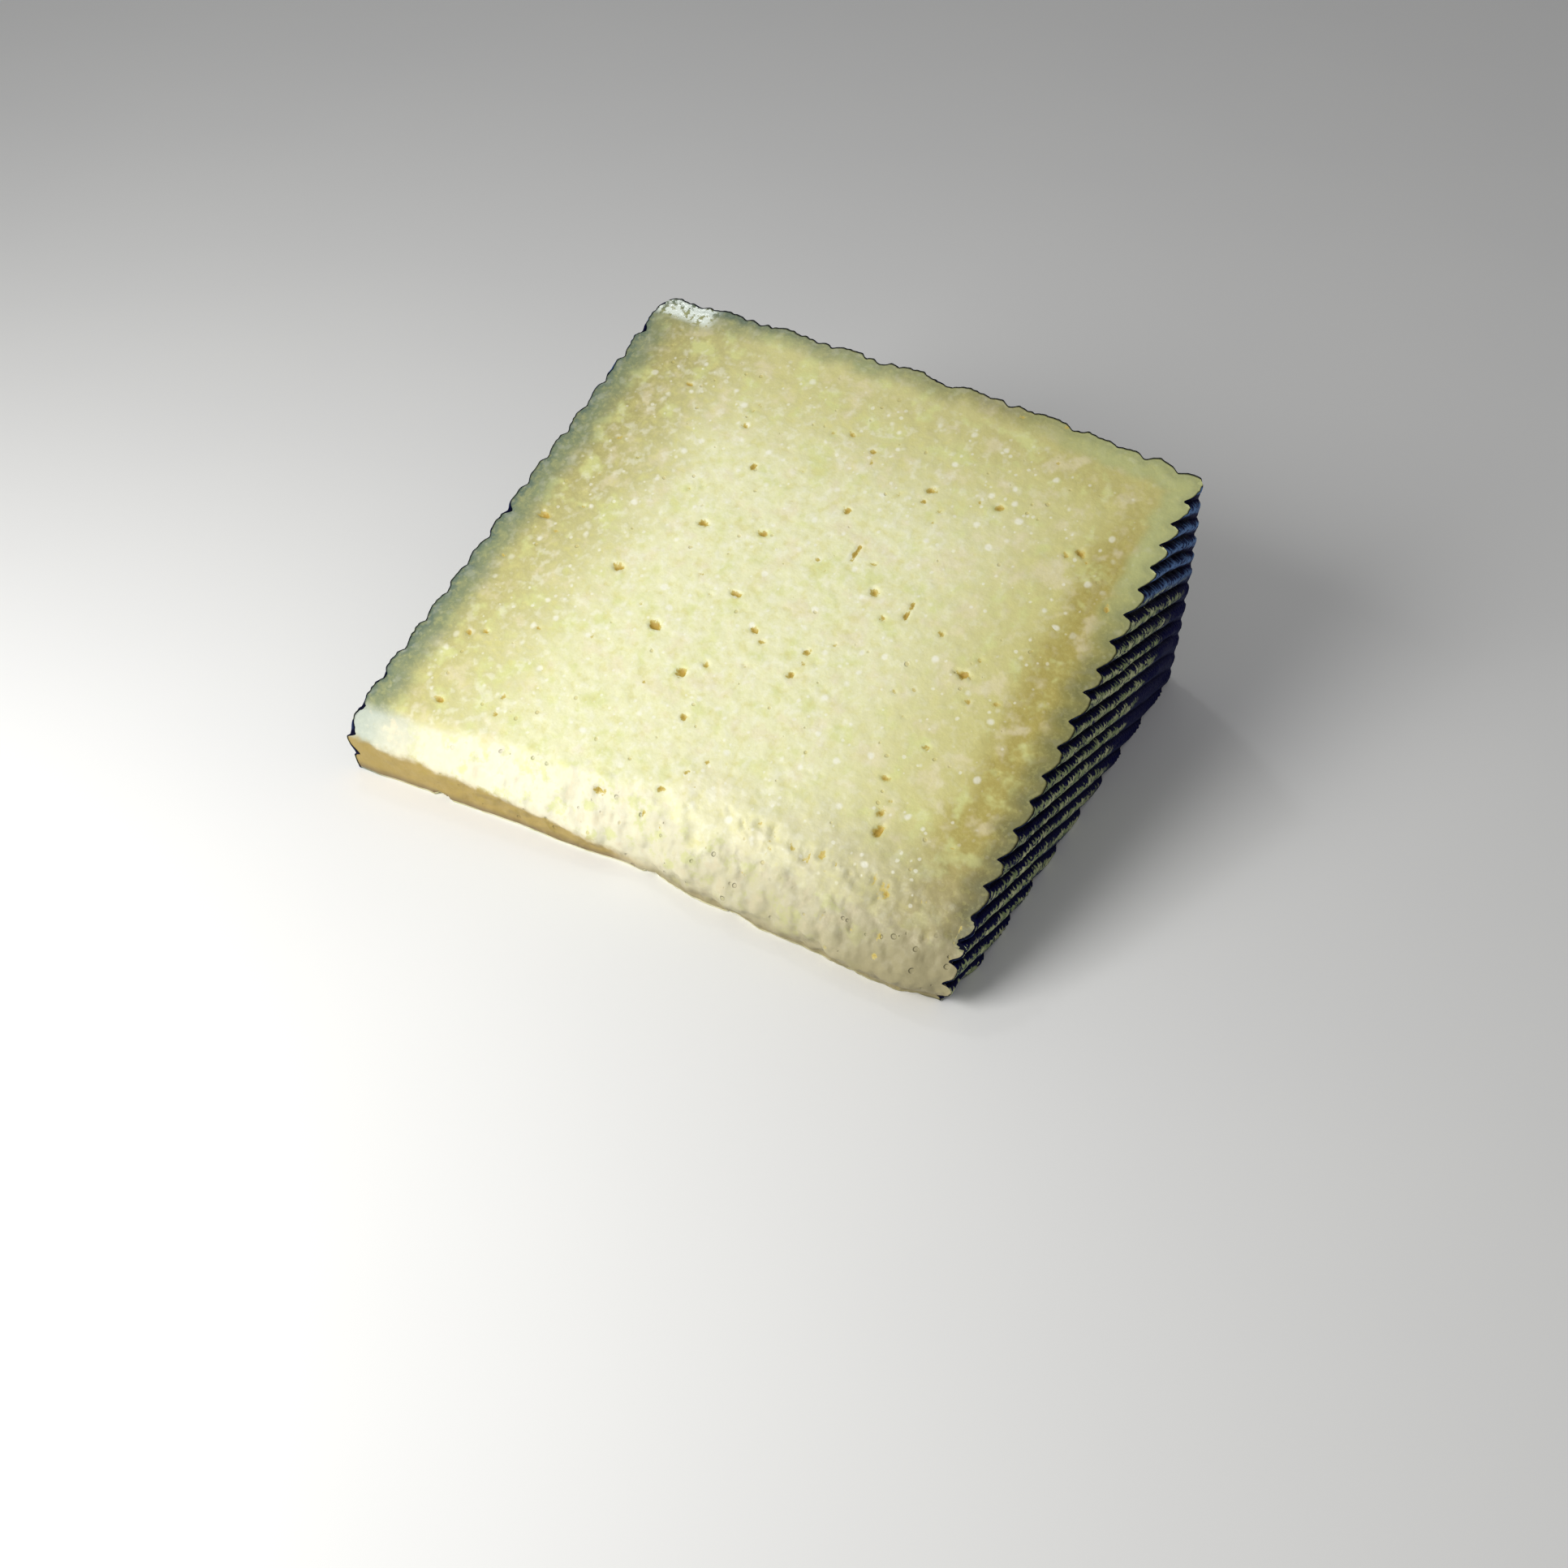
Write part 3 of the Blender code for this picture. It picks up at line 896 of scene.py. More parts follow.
@dataclass
class RimSkin(RindSkin):
    """The rind of the rim, from the middle of the right rounded edge to that of the left."""

    def stations(self) -> tuple[Array, Array, Array]:
        """The path, from right to left.

        Returns:
            Places along X, radii, and the path's turn with its side as a sign: positive on the right.
        """
        right_inner, right_middle = self.wheel.edge_middle(Side.RIGHT)
        left_inner, left_middle = self.wheel.edge_middle(Side.LEFT)
        right_edge, left_edge = self.wheel.edge_round(Side.RIGHT), self.wheel.edge_round(Side.LEFT)
        falling = np.linspace(math.pi / 4, math.pi / 2, round(right_edge * math.pi / 4 / self.cell) + 1)[:-1]
        rising = np.linspace(math.pi / 2, math.pi / 4, round(left_edge * math.pi / 4 / self.cell) + 1)[1:]
        across = np.linspace(right_inner, left_inner, round((right_inner - left_inner) / self.cell))
        x = np.concatenate([right_inner + right_edge * np.cos(falling), across,
                            left_inner - left_edge * np.cos(rising)])
        radius = np.concatenate([right_middle + right_edge * np.sin(falling), self.wheel.rim_radius(across),
                                 left_middle + left_edge * np.sin(rising)])
        angle = np.concatenate([falling, np.full(len(across), math.pi / 2), rising])
        return x, radius, angle

    def section(self, along: Array, up: Array) -> dict[str, Array]:
        """Places on the unprinted rim.

        Args:
            along: Which station, as a whole number.
            up: Share of the way from the underside to the upper cut.

        Returns:
            x, radius, turn, side and round (the path's turn).
        """
        xs, radii, angles = self.stations()
        x, radius = xs[along], radii[along]
        turn = up * self.knife.upper_turn(x, radius)
        return {"x": x, "radius": radius, "turn": turn, "side": np.sign(x), "round": angles[along], "up": up}


@dataclass(frozen=True)
class Eye:
    """A hollow in the paste.

    Attributes:
        x: Place along X, in millimetres.
        y: Place along Y, in millimetres.
        long: Length along X, in millimetres.
        wide: Width along the slope, in millimetres.
        deep: Depth over its mean width.
        fresh: How far its stain is held back, in millimetres.
    """

    x: float
    y: float
    long: float
    wide: float
    deep: float = 0.45
    fresh: float = 0.0


UPPER_EYES = tuple(Eye(*sizes) for sizes in (
    (-32.9, 22.1, 1.5, 0.8), (-19.9, 18.6, 1.3, 0.8), (-7.0, 3.7, 1.7, 0.9), (-16.9, 1.8, 1.6, 1.1),
    (13.4, 1.6, 1.9, 1.3), (16.7, -1.5, 1.2, 0.9), (19.6, 0.4, 0.8, 3.4, 0.25), (31.4, -4.7, 2.6, 1.3),
    (-41.0, -6.2, 2.6, 1.0), (-24.8, -9.3, 2.2, 1.2, 0.4), (0.0, -10.2, 1.7, 1.0), (-14.2, -15.1, 1.9, 1.5),
    (-6.3, -20.0, 1.5, 1.8), (30.9, -26.5, 1.3, 1.2), (31.9, -28.7, 1.2, 1.8, 0.6), (29.1, -22.1, 1.3, 0.8),
    (31.8, -16.0, 1.2, 0.7), (37.9, 18.0, 1.3, 1.4), (36.0, 16.9, 0.9, 0.8), (23.6, 20.3, 1.1, 1.0),
    (12.8, 19.2, 1.4, 1.0, 0.5), (12.8, 17.1, 0.9, 0.7), (2.8, 11.6, 1.1, 0.9), (7.6, 6.1, 0.7, 2.8, 0.25),
    (-14.8, 13.1, 0.8, 1.2), (-3.2, 23.3, 1.1, 0.7), (1.3, 21.8, 0.9, 0.7), (45.2, 11.4, 0.8, 1.2),
    (-1.9, -25.7, 1.0, 1.0), (-38.1, -26.1, 1.2, 0.7), (-40.7, -27.2, 1.2, 0.7), (-29.0, -33.7, 0.8, 0.8),
    (3.2, -32.3, 0.9, 0.8), (0.8, -35.9, 1.2, 0.9), (36.5, -35.9, 2.0, 1.6), (-38.1, -37.8, 1.3, 0.8),
    (-5.5, -6.4, 1.7, 0.8, 0.5), (9.1, -10.3, 1.1, 0.9), (-3.6, -17.4, 1.2, 0.9, 0.5), (8.7, -14.1, 1.2, 1.0),
))
TIP_EYES = tuple(Eye(*sizes) for sizes in (
    (-7.8, -39.0, 1.9, 1.1), (7.3, -40.1, 0.9, 0.8, 0.5), (22.6, -40.2, 1.6, 1.2, 0.35, 0.3),
    (16.7, -38.2, 1.1, 1.7, 0.35, 0.3), (35.4, -38.0, 1.2, 1.0, 0.4), (42.7, -40.2, 0.9, 0.9, 0.4, 0.2),
    (38.6, -41.3, 0.9, 0.9, 0.5), (25.8, -42.1, 1.1, 0.9, 0.4, 0.2), (30.1, -39.8, 0.9, 1.3, 0.4, 0.2),
))
FOOT_CHIPS = tuple(Eye(*sizes) for sizes in (
    (-34.2, 0.0, 2.4, 2.1, 0.5, 0.3), (1.8, 0.0, 2.2, 1.3, 0.45, 0.5), (15.1, 0.0, 1.6, 1.3, 0.5, 0.5),
))


@dataclass
class Paste:
    """The paste: one sheet that runs down the upper cut, over the tip and back under the cheese."""

    wheel: Wheel
    knife: Knife
    tip: Tip
    right: FaceSkin
    left: FaceSkin
    rim: RimSkin
    columns: int = 262
    upper_rows: int = 242
    tip_rows: int = 34
    under_rows: int = 78
    print_reach: float = 0.045
    lap: float = 0.00010
    sunk: float = 0.00006
    wall_depth: float = 0.0014
    wall_sink: float = 0.0003
    small_eyes: int = 70
    eye_fall: float = 0.8
    tip_pits: int = 130
    under_eyes: int = 40
    curd: float = 0.00006
    grain: Grain = Grain(57)
    name: str = "cheese_paste"

    def patch(self, left: Array, right: Array, start: Array, end: Array, reach: float) -> Array:
        """Fills four border lines.

        Args:
            left: Line along the first column, from the first row to the last.
            right: Line along the last column.
            start: Line along the first row, from the first column to the last.
            end: Line along the last row.
            reach: Share of the grid over which a border's influence falls to nothing; at 1 it falls evenly.

        Returns:
            A grid of rows and columns: the blend of left and right, plus that of start and end, less that
            of the four corners (a Coons patch).
        """
        down = np.linspace(0.0, 1.0, len(left))[:, None, None]
        over = np.linspace(0.0, 1.0, len(start))[None, :, None]
        ways = (over, 1 - over, down, 1 - down)
        first, last, above, below = (np.clip(1 - way / reach, 0.0, 1.0) for way in ways)
        sides = left[:, None] * first + right[:, None] * last
        ends = start[None] * above + end[None] * below
        near = left[0] * first + right[0] * last
        far = left[-1] * first + right[-1] * last
        return sides + ends - (near * above + far * below)

    def tip_line(self, up: float, plain: bool) -> Array:
        """The tip's border with one cut, from left to right.

        Args:
            up: 0 for the underside, 1 for the upper cut.
            plain: Whether the print is left out at its ends.

        Returns:
            Its points.
        """
        ends = [skin.edge(up, self.lap, plain)[0] for skin in (self.left, self.right)]
        x = np.linspace(ends[0][0], ends[1][0], self.columns)
        z = self.tip.edge_height(x) * up
        line = np.stack([x, self.tip.front(x, z), z], axis=1)
        share = np.linspace(0.0, 1.0, self.columns)[:, None]
        return line + (ends[0] - line[0]) * (1 - share) + (ends[1] - line[-1]) * share

    def cut_sheet(self, up: float, rows: int) -> Array:
        """One cut face, from the rim to the tip.

        Args:
            up: 0 for the underside, 1 for the upper cut.
            rows: How many rows.

        Returns:
            Its grid of points, all on the cut's plane: a patch between plain borders, plus one of the
            differences that the print makes to them, which ends a little way in.
        """
        borders = []
        for plain in (True, False):
            sides = [resample(skin.edge(up, self.lap, plain)[::-1], rows) for skin in (self.left, self.right)]
            rim = resample(self.rim.edge(up, self.lap, plain)[::-1], self.columns)
            borders.append((*sides, rim, self.tip_line(up, plain)))
        changes = [printed - plain for plain, printed in zip(*borders)]
        sheet = self.patch(*borders[0], 1.0) + self.patch(*changes, self.print_reach)
        sheet[..., 2] = self.knife.upper_cut(sheet[..., 0], sheet[..., 1]) if up else 0.0
        return sheet

    def tip_sheet(self) -> Array:
        """The tip, from its upper edge down to its foot.

        Returns:
            Its grid of points, without the first and the last row. Heights are shares of the upper edge's,
            and the border columns are read from the skins' own edges at those heights.
        """
        shares = np.linspace(1.0, 0.0, self.tip_rows)[1:-1]
        ends = []
        for skin in (self.left, self.right):
            up = np.linspace(0.0, 1.0, skin.rows)
            line = skin.surface(np.zeros(skin.rows, int), up, self.lap)[0]
            ends.append(np.interp(shares * line[-1, 2], line[:, 2], line[:, 0]))
        plain = [skin.edge(1.0, self.lap, True)[0, 0] for skin in (self.left, self.right)]
        over = np.linspace(0.0, 1.0, self.columns)[None, :]
        x = plain[0] * (1 - over) + plain[1] * over
        near = [np.clip(1 - share / self.print_reach, 0.0, 1.0) for share in (over, 1 - over)]
        x = x + (ends[0][:, None] - plain[0]) * near[0] + (ends[1][:, None] - plain[1]) * near[1]
        z = shares[:, None] * self.tip.edge_height(x)
        return np.stack([x, self.tip.front(x, z), z], axis=-1)

    def eyes(self) -> list[tuple[Array, Eye]]:
        """Every eye with its place in space: those that show, and small ones strewn by rule.

        Returns:
            Pairs of a place and an eye.
        """
        found = []
        for eye in UPPER_EYES:
            x, y = eye.x * MM, eye.y * MM
            found.append((np.array([x, y, float(self.knife.upper_cut(x, y))]), eye))
        for eye in TIP_EYES:
            found.append((self.on_tip(eye.x * MM, eye.y * MM), eye))
        draw = np.random.default_rng(17)
        for _ in range(self.small_eyes):
            x, y = draw.uniform(-0.044, 0.045), draw.uniform(-0.037, 0.040)
            long, wide = draw.uniform(0.45, 1.0), draw.uniform(0.35, 0.75)
            place = np.array([x, y, float(self.knife.upper_cut(x, y))])
            eye = Eye(x / MM, y / MM, long, wide, draw.uniform(0.2, 0.5), draw.uniform(0.0, 0.25))
            found.append((place, eye))
        for _ in range(self.tip_pits):
            x = draw.triangular(-0.006, 0.038, 0.047)
            y = draw.uniform(-0.0408, -0.0345)
            long, wide = draw.uniform(0.5, 1.1), draw.uniform(0.8, 2.2)
            pit = Eye(x / MM, y / MM, long, wide, draw.uniform(0.25, 0.5), draw.uniform(0.15, 0.6))
            found.append((self.on_tip(x, y), pit))
        for _ in range(self.under_eyes):
            x, y = draw.uniform(-0.043, 0.044), draw.uniform(-0.034, 0.040)
            long, wide = draw.uniform(0.9, 2.4), draw.uniform(0.9, 2.0)
            found.append((np.array([x, y, 0.0]), Eye(x / MM, y / MM, long, wide, 0.5)))
        for chip in FOOT_CHIPS:
            found.append((np.array([chip.x * MM, float(self.tip.foot(np.array(chip.x * MM))), 0.0]), chip))
        return found

    def on_tip(self, x: float, y: float) -> Array:
        """The place on the tip's slope or on the upper cut over a place on the ground.

        Args:
            x: Place along X.
            y: Place along Y.

        Returns:
            The place in space: the height at which the tip's surface reaches that y, or the upper cut's if
            less.
        """
        heights = np.linspace(0.003, 0.020, 400)
        fronts = self.tip.front(np.full(400, x), heights)
        rising = np.maximum.accumulate(fronts)
        z = float(np.interp(y, rising, heights))
        return np.array([x, y, min(z, float(self.knife.upper_cut(x, y)))])

    def relief(self, points: Array, border: Array, crumbled: Array) -> tuple[Array, Array]:
        """Height of the paste's surface over its cut, and the distance to the nearest eye's rim.

        Args:
            points: Places, one row of three each.
            border: Distance to the rind.
            crumbled: How crumbly each place is.

        Returns:
            The heights, and the distances in millimetres, negative inside an eye and at most 1. An eye's
            depth is an S-shaped fall over its elliptical distance, which random relief makes uneven.
        """
        x, y, z = points.T
        uneven = 0.50 * self.grain.layers(x / 0.0007, y / 0.0007, z / 0.0007, 2)
        depth = np.zeros(len(points))
        nearest = np.ones(len(points))
        for place, eye in self.eyes():
            near = np.flatnonzero(np.abs(x - place[0]) < 2.2 * eye.long * MM + 0.001)
            offset = points[near] - place
            across = np.hypot(offset[:, 1], offset[:, 2])
            inside = across < 2.2 * eye.wide * MM + 0.001
            near, offset, across = near[inside], offset[inside], across[inside]
            reach = np.hypot(offset[:, 0] / (eye.long / 2 * MM), across / (eye.wide / 2 * MM)) + uneven[near]
            size = (eye.long + eye.wide) / 2
            hollow = smooth((1.35 - reach) / 0.9) * size * eye.deep * self.eye_fall * MM
            depth[near] = np.maximum(depth[near], hollow)
            nearest[near] = np.minimum(nearest[near], (reach - 1) * size / 2 + eye.fresh)
        grains = self.grain.layers(x / 0.0016, y / 0.0016, z / 0.0016, 3)
        lumps = self.grain.at(x / 0.006, y / 0.006, z / 0.006)
        curd = self.curd * (grains * (1 + 1.6 * crumbled) + 0.8 * lumps)
        free = smooth((border - 0.0007) / 0.0012)
        height = (curd - depth) * free - self.sunk * (1 - smooth((border - 0.0007) / 0.0004))
        return height, np.clip(nearest, -1.0, 1.0)

    def build(self, finish: "PasteFinish") -> bpy.types.Object:
        """Makes the paste and dresses it.

        Args:
            finish: What it is dressed in.

        Returns:
            The piece. Its sheet is closed by a ring that leads down into the rind, and by a plain face
            under each of the three skins.
        """
        upper = self.cut_sheet(1.0, self.upper_rows)
        tip = self.tip_sheet()
        under = self.cut_sheet(0.0, self.under_rows)[::-1]
        sheet = self.tip.settle(np.concatenate([upper, tip, under]))
        rows, columns = sheet.shape[:2]
        points = sheet.reshape(-1, 3)
        border = self.border(points)
        x, y, z = points.T
        behind = y - self.tip.front(x, z)
        crumbled = self.tip.crumbled(x) * (1 - smooth((behind - 0.002) / 0.010))
        height, nearest = self.relief(points, border, crumbled)
        bent = points + self.normals(sheet) * height[:, None]
        bent[:, 2] = np.maximum(bent[:, 2], 0.0)
        ring = perimeter(columns, rows)
        wall = self.wall(ring, rows)
        numbers = len(points) + np.arange(len(ring))
        main_faces = grid_faces(columns, rows)
        faces = main_faces.tolist() + ring_faces(ring, numbers).tolist() + self.closing(numbers, rows)
        piece = mesh_object(self.name, np.concatenate([bent, wall]), faces, len(main_faces))
        hidden = np.zeros(len(ring))
        values = {"border": border / MM, "eye": nearest, "crumbly": crumbled, **self.tip_values(points)}
        for key, value in values.items():
            add_values(piece, key, np.concatenate([value, hidden]))
        dress(piece, finish.material())
        return piece

    def normals(self, sheet: Array) -> Array:
        """The sheet's outward normals.

        Args:
            sheet: Its grid of points.

        Returns:
            One row of three each: the cross product of the grid's two directions, turned so that the one in
            the middle of the upper cut points up.
        """
        normal = np.cross(np.gradient(sheet, axis=0), np.gradient(sheet, axis=1))
        normal /= np.maximum(np.linalg.norm(normal, axis=-1, keepdims=True), 1e-12)
        middle = normal[self.upper_rows // 2, self.columns // 2]
        return (normal * np.sign(middle @ self.knife.normal)).reshape(-1, 3)

    def tip_values(self, points: Array) -> dict[str, Array]:
        """Where places lie about the tip, in millimetres.

        Args:
            points: Places on the sheet.

        Returns:
            under, the depth under the tip's foremost line, and tipward, the distance in front of the line
            where the tip meets the upper cut. Both are kept within a few millimetres, and the underside
            counts as far behind.
        """
        x, y, z = points.T
        under = np.clip((self.tip.nose_height(x) - z) / MM, -3.0, 9.0)
        tipward = np.clip((self.tip.foot(x) + self.tip.bevel_back - y) / MM, -9.0, 9.0)
        return {"under": under, "tipward": np.where(z > 0.0002, tipward, -9.0)}

    def border(self, points: Array) -> Array:
        """Distance from each place of the sheet to the outside of the rind.

        Args:
            points: Places on the sheet.

        Returns:
            The distances to the skins' edges on the cuts and at the tip.
        """
        count = self.right.rows
        up = np.linspace(0.0, 1.0, count)
        lines = [skin.edge(share, 0.0) for skin in (self.right, self.rim, self.left) for share in (0.0, 1.0)]
        lines += [skin.surface(np.zeros(count, int), up)[0] for skin in (self.right, self.left)]
        return distance_to(points, self.tip.settle(np.concatenate(lines)))

    def wall(self, ring: Array, rows: int) -> Array:
        """The line under the sheet's border, deeper in and back from the cuts.

        Args:
            ring: Vertex numbers round the sheet.
            rows: How many rows the sheet has.

        Returns:
            Its points, one under each vertex of the border.
        """
        row, column = np.divmod(ring, self.columns)
        last_upper, first_under = self.upper_rows - 1, self.upper_rows + self.tip_rows - 2
        found = np.empty((len(ring), 3))
        for skin, at in ((self.left, 0), (self.right, self.columns - 1)):
            mine = column == at
            where = row[mine]
            edge = skin.count - 1
            over = np.where(where <= last_upper, 1 - where / last_upper, 0.0)
            over = np.where(where >= first_under, (where - first_under) / (rows - 1 - first_under), over)
            up = np.where(where <= last_upper, 1.0, 0.0)
            between = (where > last_upper) & (where < first_under)
            up = np.where(between, 1 - (where - last_upper) / (self.tip_rows - 1), up)
            back = np.where(between | (where == last_upper) | (where == first_under), self.wall_sink, 0.0)
            station = np.round(over * edge).astype(int)
            found[mine] = skin.surface(station, up, self.wall_depth, back, self.wall_sink, plain=True)[0]
        for at, up in ((0, 1.0), (rows - 1, 0.0)):
            mine = (row == at) & (column > 0) & (column < self.columns - 1)
            station = np.round((1 - column[mine] / (self.columns - 1)) * (self.rim.count - 1)).astype(int)
            share = np.full(mine.sum(), up)
            wall = self.rim.surface(station, share, self.wall_depth, 0.0, self.wall_sink, plain=True)
            found[mine] = wall[0]
        return self.tip.settle(found)

    def closing(self, numbers: Array, rows: int) -> list[list[int]]:
        """The three plain faces that close the paste under the skins.

        Args:
            numbers: Vertex numbers round the wall's line, which starts at the rim's left end on the upper
                cut.
            rows: How many rows the sheet has.

        Returns:
            The faces under the rim, the right skin and the left skin.
        """
        right_start = self.columns - 1
        right_end = right_start + rows - 1
        left_start = right_end + self.columns - 1
        upper_rim = numbers[:right_start + 1]
        right = numbers[right_start:right_end + 1]
        lower_rim = numbers[right_end:left_start + 1]
        left = np.concatenate([numbers[left_start:], numbers[:1]])
        under_rim = np.concatenate([upper_rim, lower_rim])
        return [under_rim.tolist(), right.tolist(), left.tolist()]


class Desk:
    """Lays out the nodes of one material, whose colours go on in layers."""

    FAR = (7.3, 3.1, 5.7)
    PUSH_SCALE = 1.3
    PUSH = 0.26
    SMALLEST = 0.35
    BUMP_HEIGHT = 0.00016

    def __init__(self, name: str, ground: Colour) -> None:
        """Starts a material with only its output and one surface shader.

        Args:
            name: The material's name.
            ground: Its first colour, which the layers go over.
        """
        self.made = bpy.data.materials.new(name)
        self.made.use_nodes = True
        self.tree = self.made.node_tree
        self.shader = self.tree.nodes["Principled BSDF"]
        self.colour = ground
        place = self.tree.nodes.new("ShaderNodeTexCoord")
        scaled = self.tree.nodes.new("ShaderNodeVectorMath")
        scaled.operation = "SCALE"
        scaled.inputs["Scale"].default_value = 1 / MM
        self.link(place.outputs["Object"], scaled.inputs[0])
        self.place = scaled.outputs[0]
        split = self.tree.nodes.new("ShaderNodeSeparateXYZ")
        self.link(self.place, split.inputs[0])
        self.x, self.y, self.z = split.outputs

    def link(self, output: Socket, target: Socket) -> None:
        """Joins two sockets."""
        self.tree.links.new(output, target)

    def feed(self, target: Socket, value: object) -> None:
        """Gives a socket a link, a number or a colour.

        Args:
            target: The socket.
            value: Another node's socket, a number or a colour.
        """
        if isinstance(value, Socket):
            self.link(value, target)
        elif isinstance(value, tuple):
            target.default_value = (*value, 1.0)[:len(target.default_value)]
        else:
            target.default_value = value

    def read(self, name: str) -> Socket:
        """A number that the mesh carries.

        Args:
            name: The attribute's name.

        Returns:
            The socket that gives it.
        """
        node = self.tree.nodes.new("ShaderNodeAttribute")
        node.attribute_name = name
        return node.outputs["Fac"]

    def maths(self, operation: str, one: object, two: object) -> Socket:
        """A sum of two values.

        Args:
            operation: What is done with them.
            one: The first.
            two: The second.

        Returns:
            The socket that gives the result.
        """
        node = self.tree.nodes.new("ShaderNodeMath")
        node.operation = operation
        self.feed(node.inputs[0], one)
        self.feed(node.inputs[1], two)
        return node.outputs[0]

    def plus(self, one: object, two: object) -> Socket:
        """One value plus another."""
        return self.maths("ADD", one, two)

    def less(self, one: object, two: object) -> Socket:
        """One value less another."""
        return self.maths("SUBTRACT", one, two)

    def times(self, *values: object) -> Socket:
        """The product of all values."""
        return reduce(lambda one, two: self.maths("MULTIPLY", one, two), values)

    def swing(self, pattern: Socket, width: object) -> Socket:
        """A pattern's distance from its middle, a half, times a width."""
        return self.times(self.less(pattern, 0.5), width)

    def ramp(self, value: object, low: float, high: float, start: float = 0.0, end: float = 1.0) -> Socket:
        """An S-shaped change from one number to another.

        Args:
            value: What is read.
            low: Where the change starts.
            high: Where it ends.
            start: The number below it.
            end: The number above it.

        Returns:
            The socket that gives the result.
        """
        node = self.tree.nodes.new("ShaderNodeMapRange")
        node.interpolation_type = "SMOOTHSTEP"
        for socket, number in zip(node.inputs, (value, low, high, start, end)):
            self.feed(socket, number)
        return node.outputs[0]

    def mix(self, share: object, one: object, two: object) -> Socket:
        """A blend of two colours.

        Args:
            share: How much of the second.
            one: The first colour.
            two: The second colour.

        Returns:
            The socket that gives the colour.
        """
        node = self.tree.nodes.new("ShaderNodeMix")
        node.data_type = "RGBA"
        self.feed(node.inputs[0], share)
        self.feed(node.inputs[6], one)
        self.feed(node.inputs[7], two)
        return node.outputs[2]

    def lay(self, share: object, colour: object) -> None:
        """Lays a colour over those that are there."""
        self.colour = self.mix(share, self.colour, colour)

    def moved(self, place: Socket, shift: float) -> Socket:
        """A place moved far off, so that the same pattern looks different there.

        Args:
            place: The place.
            shift: How far.

        Returns:
            The socket that gives the new place.
        """
        node = self.tree.nodes.new("ShaderNodeVectorMath")
        node.operation = "ADD"
        self.link(place, node.inputs[0])
        node.inputs[1].default_value = [shift * far for far in self.FAR]
        return node.outputs[0]

    def noise(self, size: float, detail: float, roughness: float = 0.5, shift: float = 0.0) -> Socket:
        """Soft random patches.

        Args:
            size: Their size, in millimetres.
            detail: How many finer sizes are added.
            roughness: How strong the finer ones are.
            shift: Which of the many patterns this is.

        Returns:
            The socket that gives numbers round a half.
        """
        node = self.tree.nodes.new("ShaderNodeTexNoise")
        self.link(self.moved(self.place, shift), node.inputs["Vector"])
        node.inputs["Scale"].default_value = 1 / size
        node.inputs["Detail"].default_value = detail
        node.inputs["Roughness"].default_value = roughness
        return node.outputs[0]

    def specks(self, size: float, share: float, radius: float, soft: float, shift: float) -> Socket:
        """Strewn specks, one in some of the cells of space, a little out of round.

        Args:
            size: Size of the cells, in millimetres.
            share: How many of the cells have one.
            radius: The specks' largest radius, in millimetres.
            soft: Width of their edge, in millimetres.
            shift: Which of the many patterns this is.

        Returns:
            The socket that gives 1 in a speck and 0 outside.
        """
        push = self.tree.nodes.new("ShaderNodeTexNoise")
        push.inputs["Scale"].default_value = self.PUSH_SCALE / size
        self.link(self.place, push.inputs["Vector"])
        warped = self.tree.nodes.new("ShaderNodeVectorMath")
        warped.operation = "MULTIPLY_ADD"
        self.link(push.outputs[1], warped.inputs[0])
        warped.inputs[1].default_value = [self.PUSH * size] * 3
        self.link(self.place, warped.inputs[2])
        cells = self.tree.nodes.new("ShaderNodeTexVoronoi")
        self.link(self.moved(warped.outputs[0], shift), cells.inputs["Vector"])
        cells.inputs["Scale"].default_value = 1 / size
        drawn = self.tree.nodes.new("ShaderNodeSeparateColor")
        self.link(cells.outputs["Color"], drawn.inputs[0])
        chosen = self.maths("LESS_THAN", drawn.outputs[0], share)
        large = self.ramp(drawn.outputs[1], 0.0, 1.0, radius * self.SMALLEST / size, radius / size)
        return self.times(chosen, self.ramp(self.less(large, cells.outputs["Distance"]), 0.0, soft / size))

    def bump(self, height: Socket) -> None:
        """Gives the shader a fine relief.

        Args:
            height: The socket that gives it, as a share of the full height.
        """
        node = self.tree.nodes.new("ShaderNodeBump")
        node.inputs["Strength"].default_value = 1.0
        node.inputs["Distance"].default_value = self.BUMP_HEIGHT
        self.link(height, node.inputs["Height"])
        self.link(node.outputs[0], self.shader.inputs["Normal"])

    def done(self, roughness: object, specular: float = 0.5) -> bpy.types.Material:
        """Gives the shader its colour and its shine.

        Args:
            roughness: A socket or a number.
            specular: How strongly it mirrors.

        Returns:
            The material.
        """
        self.feed(self.shader.inputs["Base Color"], self.colour)
        self.feed(self.shader.inputs["Roughness"], roughness)
        self.shader.inputs["Specular IOR Level"].default_value = specular
        return self.made


def dress(piece: bpy.types.Object, surface: bpy.types.Material) -> None:
    """Gives a piece its material and its place in the frame.

    Args:
        piece: The piece.
        surface: Its material.
    """
    piece.data.materials.append(surface)
    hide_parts(NODE)
    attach(piece, BODY)


